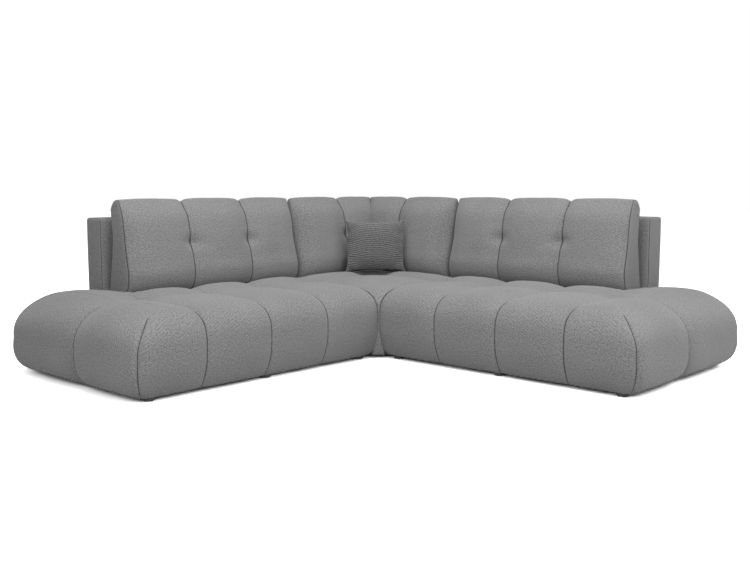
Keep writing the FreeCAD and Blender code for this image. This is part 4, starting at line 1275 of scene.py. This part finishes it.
@dataclass
class ThrowPillow:
    """Small ribbed pillow that stands in the corner and leans back.

    Attributes:
        width: Its width from seam to seam.
        height: Its height from seam to seam.
        thickness: Its thickness at its middle.
        aside: How far it stands to one side of its node's middle.
        turn: Degrees that it is turned about z.
        lean: Degrees that it leans back.
        ribs: Ribs from seam to seam.
        rib_depth: Height of a rib.
        arch: How far the ribs sag to the sides, as a share of half the height.
        bunching: How far its columns crowd at the sides.
        side_draw: How far the middle of each side is drawn in, as a share of half the width.
        end_draw: The same for the top and the bottom.
        columns: Columns of quads.
        rows: Rows of quads.
        core: Size of its filling.
    """

    width: float = 0.398
    height: float = 0.345
    thickness: float = 0.150
    aside: float = 0.014
    turn: float = 45.0
    lean: float = 10.0
    ribs: int = 25
    rib_depth: float = 0.0036
    arch: float = 0.24
    bunching: float = 0.96
    side_draw: float = 0.095
    end_draw: float = 0.110
    columns: int = 132
    rows: int = 176
    core: tuple[float, float, float] = (0.300, 0.050, 0.240)

    def place(self, points: Array) -> Array:
        """Turn the pillow's own axes into the frame's.

        Args:
            points: Points across, from front to back and up.

        Returns:
            The same points as x, y, z.
        """
        lean, turn = math.radians(self.lean), math.radians(self.turn)
        back = points[..., 1] * math.cos(lean) + points[..., 2] * math.sin(lean)
        up = points[..., 2] * math.cos(lean) - points[..., 1] * math.sin(lean)
        across = points[..., 0] + self.aside
        x = across * math.cos(turn) - back * math.sin(turn)
        y = across * math.sin(turn) + back * math.cos(turn)
        low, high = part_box("throw_pillow_cover")
        middle = (low + high) / 2
        return np.stack([x + middle.x, y + middle.y, up + middle.z], axis=-1)

    def build(self) -> bpy.types.Object:
        """Make the pillow's cover.

        Returns:
            The cover, placed in the frame.
        """
        turn = np.linspace(-1, 1, self.columns + 1) * math.pi / 2 * self.bunching
        across = np.sin(turn) / math.sin(math.pi / 2 * self.bunching)
        up = np.linspace(-1, 1, self.rows + 1)
        grid_x, grid_z = np.meshgrid(across, up, indexing="ij")
        drawn_x = 1 - self.side_draw * (1 - np.abs(grid_z) ** 5)
        drawn_x = drawn_x - 0.010 * (1 - np.abs(grid_z)) * np.sin(grid_z * 15.0)
        drawn_z = 1 - self.end_draw * (1 - np.abs(grid_x) ** 5)
        drawn_z = drawn_z - 0.017 * (1 - np.abs(grid_x)) * np.sin(grid_x * 19.0 + 1)
        x = grid_x * drawn_x * self.width / 2
        z = grid_z * drawn_z * self.height / 2
        swell = (1 - np.abs(grid_x) ** 3.0) ** 0.62 * (1 - np.abs(grid_z) ** 3.0) ** 0.62
        cloth = Cloth()
        sag = self.arch * (1 - grid_z ** 4) * np.clip((grid_z + 0.9) / 0.55, 0, 1)
        level = grid_z - sag * (grid_x ** 2 - 0.35) + 0.008 * np.sin(grid_x * 11.0 + grid_z * 3.0)
        rib = np.abs(np.cos(level * self.ribs * math.pi / 2)) ** 0.8
        edge = np.minimum((1 - np.abs(grid_x)) * self.width, (1 - np.abs(grid_z)) * self.height) / 2
        rim = ramp(edge, 0.0, 0.006)
        for front in (-1, 1):
            folds = 0.0055 * np.sin(grid_x * grid_z * 14.0 + front) * np.abs(grid_x * grid_z) ** 1.2
            folds = folds + 0.0035 * np.sin(grid_x * 19.0 + 1) * np.abs(grid_z) ** 5
            body = self.thickness / 2 * swell * (0.93 + 0.05 * np.cos(grid_x * 4.1 + front))
            body = body + (self.rib_depth * (rib - 0.4) + folds + 0.004) * rim
            points = np.stack([x, front * body, z], axis=-1)
            weave = np.stack([x, z], axis=-1) + np.array([3.0 * front, 0.0])
            cloth.add(points, weave, rib=rib)
        cloth.weld()
        # Painted shade: the material darkens the troughs between the ribs, where this value is small
        furrow_shade = 0.0006 + 0.0034 * np.clip(cloth.value["rib"] / 0.75, 0, 1)
        return cloth.piece("throw_pillow_ribbed", self.place, furrow_shade)

    def filling(self) -> bpy.types.Object:
        """Make the pillow's filling.

        Returns:
            The filling, placed in the frame.
        """
        half = Vector(self.core) / 2
        block = soft_block(-half, half, 0.020, 0.003, 0.012)
        return block.piece("throw_pillow_filling", self.place)


@dataclass
class DustCloth:
    """Black cloth that is stretched under a module's rails."""

    node: str
    sag: float = 0.0008
    step: float = 0.03

    def build(self) -> bpy.types.Object:
        """Make the cloth in the place of its node.

        Returns:
            The cloth.
        """
        low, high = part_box(self.node)
        across = lines([low.x, high.x], self.step)
        along = lines([low.y, high.y], self.step)
        grid_x, grid_y = np.meshgrid(across, along, indexing="ij")
        share_x = (grid_x - low.x) / (high.x - low.x)
        share_y = (grid_y - low.y) / (high.y - low.y)
        hang = np.clip(16 * share_x * (1 - share_x) * share_y * (1 - share_y), 0, 1) ** 0.5
        hang = hang * (0.75 + 0.25 * np.sin(grid_x * 9.0) * np.sin(grid_y * 7.0))
        cloth = Cloth()
        weave = np.stack([grid_x, grid_y], axis=-1)
        for level in (high.z - 0.0002, low.z + 0.0010):
            cloth.add(np.stack([grid_x, grid_y, level - self.sag * hang], axis=-1), weave)
        top, under = cloth.grids
        for line in (np.s_[:, 0], np.s_[:, -1], np.s_[0, :], np.s_[-1, :]):
            raw = np.concatenate(cloth.points)
            edge = np.stack([raw[top[line]], raw[under[line]]])
            cloth.add(edge, edge[..., :2])
        cloth.weld()
        item = cloth.piece(f"{self.node}_cloth", lambda points: points)
        return item


# Finishes


@dataclass(frozen=True)
class Weave:
    """Structured upholstery: slanted ribs of two yarns, broken by the yarns' own mottle.

    Attributes:
        name: Material's name.
        dark: Colour of the weave's lowest tone.
        light: Colour of its highest.
        rib: Width of a rib.
        dash: Length of a dash on a rib.
        yarn: Width of a yarn.
        slant: Degrees that the ribs are turned on the cloth.
        rib_share: Share of the ribs in the tone.
        crossing_share: Share of the crossing yarns.
        grain_share: Share of the finest mottle.
        fleck_share: Share of the flecks.
        cloud_share: Share of the broad clouds.
        stitch: Colour of the painted shade on a line of stitches or another groove, where the fold would
            be in shade.
        painted_groove_shade_reach: Distance from that line at which the painted shade is whole, and at
            which it ends.
        bump: Strength of the relief.
    """

    name: str
    dark: tuple[float, float, float]
    light: tuple[float, float, float]
    rib: float = 0.0125
    dash: float = 0.0105
    yarn: float = 0.0034
    slant: float = 62.0
    rib_share: float = 0.10
    crossing_share: float = 0.10
    grain_share: float = 0.40
    fleck_share: float = 1.2
    cloud_share: float = 0.20
    # Painted shade: the cloth darkens to this colour along seams, edges and rib furrows
    stitch: tuple[float, float, float] = (0.26, 0.26, 0.27)
    painted_groove_shade_reach: tuple[float, float] = (0.0008, 0.0052)
    bump: float = 0.5


class Nodes:
    """Small helper that wires a material's nodes."""

    def __init__(self, name: str, roughness: float = 0.9, metallic: float = 0.0) -> None:
        """Make a node material with one shader.

        Args:
            name: Material's name.
            roughness: Its roughness.
            metallic: Its metallic share.
        """
        self.material = bpy.data.materials.new(name)
        self.material.use_nodes = True
        self.tree = self.material.node_tree
        self.shader = self.tree.nodes["Principled BSDF"]
        self.shader.inputs["Roughness"].default_value = roughness
        self.shader.inputs["Metallic"].default_value = metallic

    def add(self, kind: str, **options: object) -> bpy.types.Node:
        """Add a node and set its options.

        Args:
            kind: Type of the node.
            options: Its attributes.

        Returns:
            The node.
        """
        node = self.tree.nodes.new(kind)
        for key, option in options.items():
            setattr(node, key, option)
        return node

    def link(self, source: bpy.types.NodeSocket, target: bpy.types.NodeSocket) -> None:
        """Join two sockets."""
        self.tree.links.new(source, target)

    def math(self, operation: str, first: object, second: object = 0.0, third: object = 0.0) -> object:
        """Add a maths node.

        Args:
            operation: What it works out.
            first: Its first socket or number.
            second: Its second one.
            third: Its third one.

        Returns:
            The socket of its result.
        """
        node = self.add("ShaderNodeMath", operation=operation)
        for number, value in enumerate((first, second, third)):
            if isinstance(value, (int, float)):
                node.inputs[number].default_value = value
            else:
                self.link(value, node.inputs[number])
        return node.outputs[0]

    def ramp(self, factor: object, stops: Sequence[tuple[float, tuple[float, float, float]]]) -> object:
        """Add a colour ramp.

        Args:
            factor: Socket that it reads.
            stops: Pairs of place and colour, in order.

        Returns:
            The socket of its colour.
        """
        node = self.add("ShaderNodeValToRGB")
        elements = node.color_ramp.elements
        while len(elements) < len(stops):
            elements.new(0.5)
        for element, (place, colour) in zip(elements, stops):
            element.position = place
            element.color = (*colour, 1.0)
        self.link(factor, node.inputs[0])
        return node.outputs[0]

    def noise(self, vector: object, scale: float, detail: float = 3.0, roughness: float = 0.55) -> object:
        """Add a noise texture.

        Args:
            vector: Socket of the place that it is read at.
            scale: Its scale.
            detail: Its detail.
            roughness: Its roughness.

        Returns:
            The socket of its value.
        """
        node = self.add("ShaderNodeTexNoise")
        node.inputs["Scale"].default_value = scale
        node.inputs["Detail"].default_value = detail
        node.inputs["Roughness"].default_value = roughness
        self.link(vector, node.inputs["Vector"])
        return node.outputs[0]

    def bump(self, height: object, distance: float, strength: float = 1.0) -> None:
        """Lead a height into the shader's normal.

        Args:
            height: Socket of the height.
            distance: How far a height of 1 stands out.
            strength: Strength of the relief.
        """
        node = self.add("ShaderNodeBump")
        node.inputs["Strength"].default_value = strength
        node.inputs["Distance"].default_value = distance
        self.link(height, node.inputs["Height"])
        self.link(node.outputs[0], self.shader.inputs["Normal"])


def woven(finish: Weave) -> bpy.types.Material:
    """Material of woven upholstery on the fabric's own map.

    Args:
        finish: Colours and sizes of the weave.

    Returns:
        The material.
    """
    nodes = Nodes(finish.name, roughness=0.92)
    for name, value in (("Sheen Weight", 0.25), ("Sheen Roughness", 0.5), ("Specular IOR Level", 0.2)):
        nodes.shader.inputs[name].default_value = value
    cloth = nodes.add("ShaderNodeUVMap", uv_map="weave").outputs[0]
    turned = nodes.add("ShaderNodeMapping")
    turned.inputs["Rotation"].default_value[2] = math.radians(finish.slant)
    nodes.link(cloth, turned.inputs["Vector"])
    wobble = nodes.noise(cloth, 7.0, 2.0)
    split = nodes.add("ShaderNodeSeparateXYZ")
    nodes.link(turned.outputs[0], split.inputs[0])

    def wave(axis: int, period: float, sway: float) -> object:
        """Yarns side by side along one axis of the turned cloth."""
        phase = nodes.math("MULTIPLY_ADD", split.outputs[axis], math.tau / period,
                           nodes.math("MULTIPLY", wobble, sway))
        return nodes.math("SINE", phase)

    rib = nodes.math("MULTIPLY", wave(0, finish.rib, 9.0),
                     nodes.math("MULTIPLY_ADD", wave(1, finish.dash, 14.0), 0.45, 0.55))
    crossing = nodes.math("MULTIPLY", wave(0, finish.yarn, 11.0), wave(1, finish.yarn, 13.0))
    grain = nodes.noise(cloth, 420.0, 2.0, 0.7)
    fleck = nodes.noise(cloth, 125.0, 2.0, 0.6)
    cloud = nodes.noise(cloth, 3.0, 3.0)
    tone = nodes.math("MULTIPLY_ADD", rib, finish.rib_share, 0.5)
    tone = nodes.math("MULTIPLY_ADD", crossing, finish.crossing_share, tone)
    for speckle, share in ((grain, finish.grain_share), (fleck, finish.fleck_share),
                           (cloud, finish.cloud_share)):
        tone = nodes.math("ADD", tone, nodes.math("MULTIPLY_ADD", speckle, share, -share / 2))
    colour = nodes.ramp(tone, [(0.10, finish.dark), (0.90, finish.light)])
    # Painted shade: the colour darkens towards the seams, edges and rib furrows that the seam attribute
    # marks, as grooves would be in shade
    seam = nodes.add("ShaderNodeAttribute", attribute_name="seam").outputs["Fac"]
    near = nodes.add("ShaderNodeMapRange", interpolation_type="SMOOTHSTEP")
    near.inputs["From Min"].default_value = finish.painted_groove_shade_reach[0]
    near.inputs["From Max"].default_value = finish.painted_groove_shade_reach[1]
    nodes.link(seam, near.inputs["Value"])
    shade = nodes.add("ShaderNodeMix", data_type="RGBA", blend_type="MULTIPLY")
    shade.inputs["Factor"].default_value = 1.0
    stitch = nodes.ramp(near.outputs[0], [(0.0, finish.stitch), (1.0, (1.0, 1.0, 1.0))])
    nodes.link(colour, shade.inputs[6])
    nodes.link(stitch, shade.inputs[7])
    nodes.link(shade.outputs[2], nodes.shader.inputs["Base Color"])
    yarns = nodes.math("MULTIPLY_ADD", rib, 0.5, nodes.math("MULTIPLY", crossing, 0.25))
    pile = nodes.math("MULTIPLY_ADD", grain, 0.6, nodes.math("MULTIPLY", near.outputs[0], 1.2))
    nodes.bump(nodes.math("ADD", yarns, pile), 0.0011, finish.bump)
    return nodes.material


class Finish(Enum):
    """Finishes of the nodes that stay as the frame gives them."""

    FRAME_WOOD = "frame_wood"
    PLYWOOD = "plywood"
    SPRING_STEEL = "spring_steel"
    ZINC_STEEL = "zinc_steel"
    BLACK_STEEL = "black_steel"
    GLIDE_PLASTIC = "glide_plastic"
    ZIP = "zip_black"
    FOAM = "foam"
    DUST_CLOTH = "dust_cloth"


@dataclass(frozen=True)
class Grain:
    """A finish whose colour runs between two tones over a grain.

    Attributes:
        dark: Darker tone.
        light: Lighter tone.
        scale: Grains per metre along x, y and z.
        roughness: Roughness of the surface.
        bump: Height of the grain.
        metallic: Metallic share.
    """

    dark: tuple[float, float, float]
    light: tuple[float, float, float]
    scale: tuple[float, float, float]
    roughness: float
    bump: float
    metallic: float = 0.0

    def material(self, name: str) -> bpy.types.Material:
        """Make the finish's material.

        Args:
            name: Material's name.

        Returns:
            The material.
        """
        nodes = Nodes(name, self.roughness, self.metallic)
        place = nodes.add("ShaderNodeTexCoord").outputs["Object"]
        scaled = nodes.add("ShaderNodeMapping")
        scaled.inputs["Scale"].default_value = self.scale
        nodes.link(place, scaled.inputs["Vector"])
        grain = nodes.noise(scaled.outputs[0], 1.0, 5.0, 0.6)
        blotch = nodes.noise(place, 6.0, 2.0)
        tone = nodes.math("MULTIPLY_ADD", blotch, 0.3, nodes.math("MULTIPLY_ADD", grain, 1.1, -0.2))
        colour = nodes.ramp(tone, [(0.25, self.dark), (0.75, self.light)])
        nodes.link(colour, nodes.shader.inputs["Base Color"])
        nodes.bump(grain, self.bump)
        return nodes.material


GRAINS = {
    Finish.FRAME_WOOD: Grain((0.36, 0.22, 0.11), (0.68, 0.50, 0.31), (14.0, 14.0, 60.0), 0.75, 0.0006),
    Finish.PLYWOOD: Grain((0.45, 0.30, 0.16), (0.74, 0.58, 0.38), (9.0, 9.0, 150.0), 0.7, 0.0004),
    Finish.SPRING_STEEL: Grain((0.20, 0.20, 0.21), (0.46, 0.46, 0.48), (90.0,) * 3, 0.38, 0.0001, 1.0),
    Finish.ZINC_STEEL: Grain((0.42, 0.42, 0.40), (0.68, 0.68, 0.66), (60.0,) * 3, 0.42, 0.0001, 1.0),
    Finish.BLACK_STEEL: Grain((0.018, 0.018, 0.019), (0.042, 0.042, 0.043), (300.0,) * 3, 0.5, 0.0002),
    Finish.GLIDE_PLASTIC: Grain((0.012, 0.012, 0.012), (0.028, 0.028, 0.029), (500.0,) * 3, 0.55, 0.0002),
    Finish.ZIP: Grain((0.010, 0.010, 0.011), (0.045, 0.045, 0.047), (420.0, 420.0, 40.0), 0.6, 0.0006),
    Finish.FOAM: Grain((0.66, 0.61, 0.46), (0.84, 0.80, 0.66), (420.0,) * 3, 0.95, 0.0012),
    Finish.DUST_CLOTH: Grain((0.010, 0.010, 0.011), (0.040, 0.040, 0.042), (700.0,) * 3, 0.95, 0.0005),
}


# Room


@dataclass(frozen=True)
class Lamp:
    """Large soft lamp: a square that faces a point."""

    name: str
    place: tuple[float, float, float]
    aim: tuple[float, float, float]
    size: float
    power: float

    def hang(self) -> None:
        """Hang the lamp in the scene."""
        data = bpy.data.lights.new(self.name, "AREA")
        data.size = self.size
        data.energy = self.power
        item = bpy.data.objects.new(self.name, data)
        item.location = self.place
        item.rotation_mode = "QUATERNION"
        item.rotation_quaternion = (Vector(self.aim) - Vector(self.place)).to_track_quat("-Z", "Y")
        bpy.context.scene.collection.objects.link(item)


@dataclass
class Studio:
    """Plain floor, soft light and the camera of the photograph.

    Attributes:
        camera_place: Place of the camera.
        camera_heading: Where it looks along x and y.
        camera_pitch: Degrees that it looks down.
        lens: Its lens in millimetres.
        sensor: Width of its sensor in millimetres.
        sight: How far it sees.
        floor_size: Side of the floor.
        floor_shade: Brightness of the floor that lights the sofa.
        floor_seen: Brightness of the floor that the camera sees under the sofa.
        floor_near: Distance from the middle at which that brightness starts to grow.
        floor_growth: How much it grows with each metre.
        floor_far: Brightness at which it stays.
        world_light: Strength of the light from all round.
        lamps: The lamps.
    """

    camera_place: tuple[float, float, float] = (3.1915, -3.5215, 0.975)
    camera_heading: tuple[float, float] = (-0.6768, 0.7362)
    camera_pitch: float = 5.96
    lens: float = 43.06
    sensor: float = 36.0
    sight: float = 200.0
    floor_size: float = 60.0
    floor_shade: float = 0.50
    floor_seen: float = 3.2
    floor_near: float = 1.7
    floor_growth: float = 3.0
    floor_far: float = 5.4
    world_light: float = 0.22
    lamps: tuple[Lamp, ...] = (
        Lamp("overhead", (0.6, -0.6, 4.2), (0.0, 0.0, 0.3), size=3.0, power=135.0),
        Lamp("front_right", (4.2, -2.2, 2.6), (0.0, 0.0, 0.4), size=2.0, power=56.0),
        Lamp("front_left", (1.6, -4.6, 2.6), (0.0, 0.0, 0.4), size=2.0, power=60.0),
        Lamp("end_side", (3.0, 1.2, 1.7), (1.2, 0.9, 0.3), size=1.2, power=17.0),
    )

    def camera(self) -> None:
        """Set the camera where the photograph was taken."""
        data = bpy.data.cameras.new("view")
        data.lens = self.lens
        data.sensor_width = self.sensor
        data.clip_end = self.sight
        item = bpy.data.objects.new("view", data)
        pitch = math.radians(self.camera_pitch)
        heading = Vector((*self.camera_heading, 0.0)).normalized() * math.cos(pitch)
        forward = Vector((heading.x, heading.y, -math.sin(pitch)))
        item.location = self.camera_place
        item.rotation_mode = "QUATERNION"
        item.rotation_quaternion = forward.to_track_quat("-Z", "Y")
        bpy.context.scene.collection.objects.link(item)
        bpy.context.scene.camera = item

    def floor(self) -> None:
        """Lay the pale floor, which shows white to the camera and keeps the sofa's shadow."""
        bpy.ops.mesh.primitive_plane_add(size=self.floor_size)
        item = bpy.context.object
        item.name = "studio_floor"
        nodes = Nodes("studio_floor", roughness=1.0)
        path = nodes.add("ShaderNodeLightPath")
        seen = nodes.math("MAXIMUM", path.outputs["Is Camera Ray"], nodes.math(
            "MAXIMUM", path.outputs["Is Glossy Ray"], path.outputs["Is Transmission Ray"]))
        distance = nodes.add("ShaderNodeVectorMath", operation="LENGTH")
        nodes.link(nodes.add("ShaderNodeTexCoord").outputs["Object"], distance.inputs[0])
        beyond = nodes.math("SUBTRACT", distance.outputs["Value"], self.floor_near)
        beyond = nodes.math("MAXIMUM", beyond, 0.0)
        bright = nodes.math("MULTIPLY_ADD", beyond, self.floor_growth, self.floor_seen - self.floor_shade)
        bright = nodes.math("MINIMUM", bright, self.floor_far - self.floor_shade)
        shown = nodes.add("ShaderNodeCombineColor")
        for name in ("Red", "Green", "Blue"):
            nodes.link(nodes.math("MULTIPLY_ADD", seen, bright, self.floor_shade), shown.inputs[name])
        plain = nodes.add("ShaderNodeBsdfDiffuse")
        nodes.link(shown.outputs[0], plain.inputs["Color"])
        nodes.link(plain.outputs[0], nodes.tree.nodes["Material Output"].inputs["Surface"])
        item.data.materials.append(nodes.material)

    def world(self) -> None:
        """Soft even light from all round, on a white backdrop."""
        world = bpy.data.worlds.new("studio")
        world.use_nodes = True
        tree = world.node_tree
        back = tree.nodes["Background"]
        back.inputs["Color"].default_value = (1.0, 1.0, 1.0, 1.0)
        path = tree.nodes.new("ShaderNodeLightPath")
        mixed = tree.nodes.new("ShaderNodeMapRange")
        mixed.inputs["To Min"].default_value = self.world_light
        mixed.inputs["To Max"].default_value = 1.0
        tree.links.new(path.outputs["Is Camera Ray"], mixed.inputs["Value"])
        tree.links.new(mixed.outputs[0], back.inputs["Strength"])
        bpy.context.scene.world = world

    def build(self) -> None:
        """Make the whole room."""
        self.camera()
        self.floor()
        self.world()
        for lamp in self.lamps:
            lamp.hang()
        bpy.context.scene.view_settings.view_transform = "Standard"


def deselect() -> None:
    """Leave nothing selected."""
    for item in bpy.context.selected_objects:
        item.select_set(False)


def dress(item: bpy.types.Object, material: bpy.types.Material, slot: str, body: str,
          *nodes: str) -> None:
    """Finish one piece and tell the frame about it.

    Args:
        item: The piece.
        material: Its material.
        slot: The record's slot that it takes its finish from; not used.
        body: Body that it moves with.
        nodes: Nodes of the frame that it stands for.
    """
    item.data.materials.append(material)
    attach(item, body)
    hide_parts(*nodes)
    LOG.info("%s: %d faces", item.name, len(item.data.polygons))


@dataclass
class Sofa:
    """The whole sofa: seats, backs, cushions, pillow and what they hide.

    Attributes:
        plan: Measures of the sofa.
        grey: Cloth of the seats, backs and cushions.
        ribbed: Cloth of the throw pillow.
        finishes: Materials of everything else.
        reaches: How far each back panel passes its node's box.
        long_start: End of the long cushions towards the corner.
        long_finish: Their free end, on each wing.
        long_seams: Seams between their channels.
        long_bulge: How far the panel at their free end stands out.
        corner_start: End of the corner cushions in the mitre.
        corner_finish: Their other end.
        corner_seams: Seam between their channels.
    """

    plan: Plan
    grey: bpy.types.Material
    ribbed: bpy.types.Material
    finishes: dict[Finish, bpy.types.Material]
    reaches: tuple[tuple[str, tuple[float, float, float]], ...] = (
        ("right_back_panel", (0.013, 0.0, 0.011)),
        ("left_back_panel", (0.0, -0.022, 0.011)),
        ("corner_right_back_panel", (0.0, 0.0, 0.011)),
        ("corner_left_back_panel", (0.0, 0.0, 0.011)),
    )
    long_start: float = 1.0300
    long_finish: tuple[tuple[Wing, float], ...] = ((Wing.RIGHT, 2.2700), (Wing.LEFT, 2.2820))
    long_seams: tuple[float, ...] = (1.4381, 1.8577)
    long_bulge: float = 0.008
    corner_start: float = 0.1763
    corner_finish: float = 1.0030
    corner_seams: tuple[float, ...] = (0.5959,)

    def seats(self) -> None:
        """Build the three quilted seat pads."""
        for wing in Wing:
            pad = WingPad(self.plan, wing=wing).build()
            dress(pad, self.grey, "grey_weave", "root", f"{wing.value}_seat_pad")
        pad = CornerPad(self.plan).build()
        dress(pad, self.grey, "grey_weave", "root", "corner_seat_pad")

    def backs(self) -> None:
        """Build the four panels of the back."""
        for node, reach in self.reaches:
            panel = BackPanel(node, reach).build()
            dress(panel, self.grey, "grey_weave", "root", node)

    def cushions(self) -> None:
        """Build the four back cushions."""
        for wing, finish in self.long_finish:
            name = f"{wing.value}_long_cushion"
            cushion = BackCushion(self.plan, wing, f"{name}_channelled", self.long_start, finish,
                                  self.long_seams, finish_bulge=self.long_bulge).build()
            dress(cushion, self.grey, "grey_weave", name, f"{name}_cover")
            name = f"{wing.value}_corner_cushion"
            cushion = BackCushion(self.plan, wing, f"{name}_channelled", self.corner_start,
                                  self.corner_finish, self.corner_seams, mitred=True).build()
            dress(cushion, self.grey, "grey_weave", name, f"{name}_cover")

    def pillow(self) -> None:
        """Build the throw pillow and its filling."""
        maker = ThrowPillow()
        pillow = maker.build()
        dress(pillow, self.ribbed, "pillow_fabric", "throw_pillow", "throw_pillow_cover")
        filling = maker.filling()
        dress(filling, self.finishes[Finish.FOAM], "foam", "throw_pillow", "throw_pillow_core")

    def fillings(self) -> None:
        """Build the foam of the seats and cushions."""
        blocks = [(f"{name}_seat_core", "root") for name in ("right", "left", "corner")]
        blocks += [(f"{wing.value}_{size}_cushion_core", f"{wing.value}_{size}_cushion")
                   for wing in Wing for size in ("long", "corner")]
        for node, body in blocks:
            foam = FoamBlock(node).build()
            dress(foam, self.finishes[Finish.FOAM], "foam", body, node)

    def undersides(self) -> None:
        """Build the dust cloths."""
        for name in ("right", "left", "corner"):
            node = f"{name}_dust_cover"
            dress(DustCloth(node).build(), self.finishes[Finish.DUST_CLOTH], "dust_cloth", "root", node)

    def frame_nodes(self) -> None:
        """Give every node that stays its own finish."""
        slots = {part["node"]: part["material_slot"] for part in frame["record"]["subparts"]}
        names = {finish.value: finish for finish in Finish}
        for node, item in frame["nodes"].items():
            finish = names.get(slots[node])
            if finish is not None:
                item.data.materials.clear()
                item.data.materials.append(self.finishes[finish])

    def build(self) -> None:
        """Build every piece in order."""
        self.seats()
        self.backs()
        self.cushions()
        self.pillow()
        self.fillings()
        self.undersides()
        self.frame_nodes()


def main() -> None:
    """Dress the sofa and set it in its room."""
    logging.basicConfig(level=logging.INFO, format="%(name)s: %(message)s")
    deselect()
    plan = Plan(half=(CAD_BOX[1] - CAD_BOX[0]).x / 2)
    grey = woven(Weave("grey_weave", dark=(0.095, 0.095, 0.098), light=(0.370, 0.370, 0.375)))
    ribbed = woven(Weave("pillow_fabric", dark=(0.060, 0.060, 0.062), light=(0.340, 0.340, 0.343),
                         rib_share=0.0))
    finishes = {finish: grain.material(finish.value) for finish, grain in GRAINS.items()}
    Studio().build()
    Sofa(plan, grey, ribbed, finishes).build()


if __name__ == "__main__":
    main()
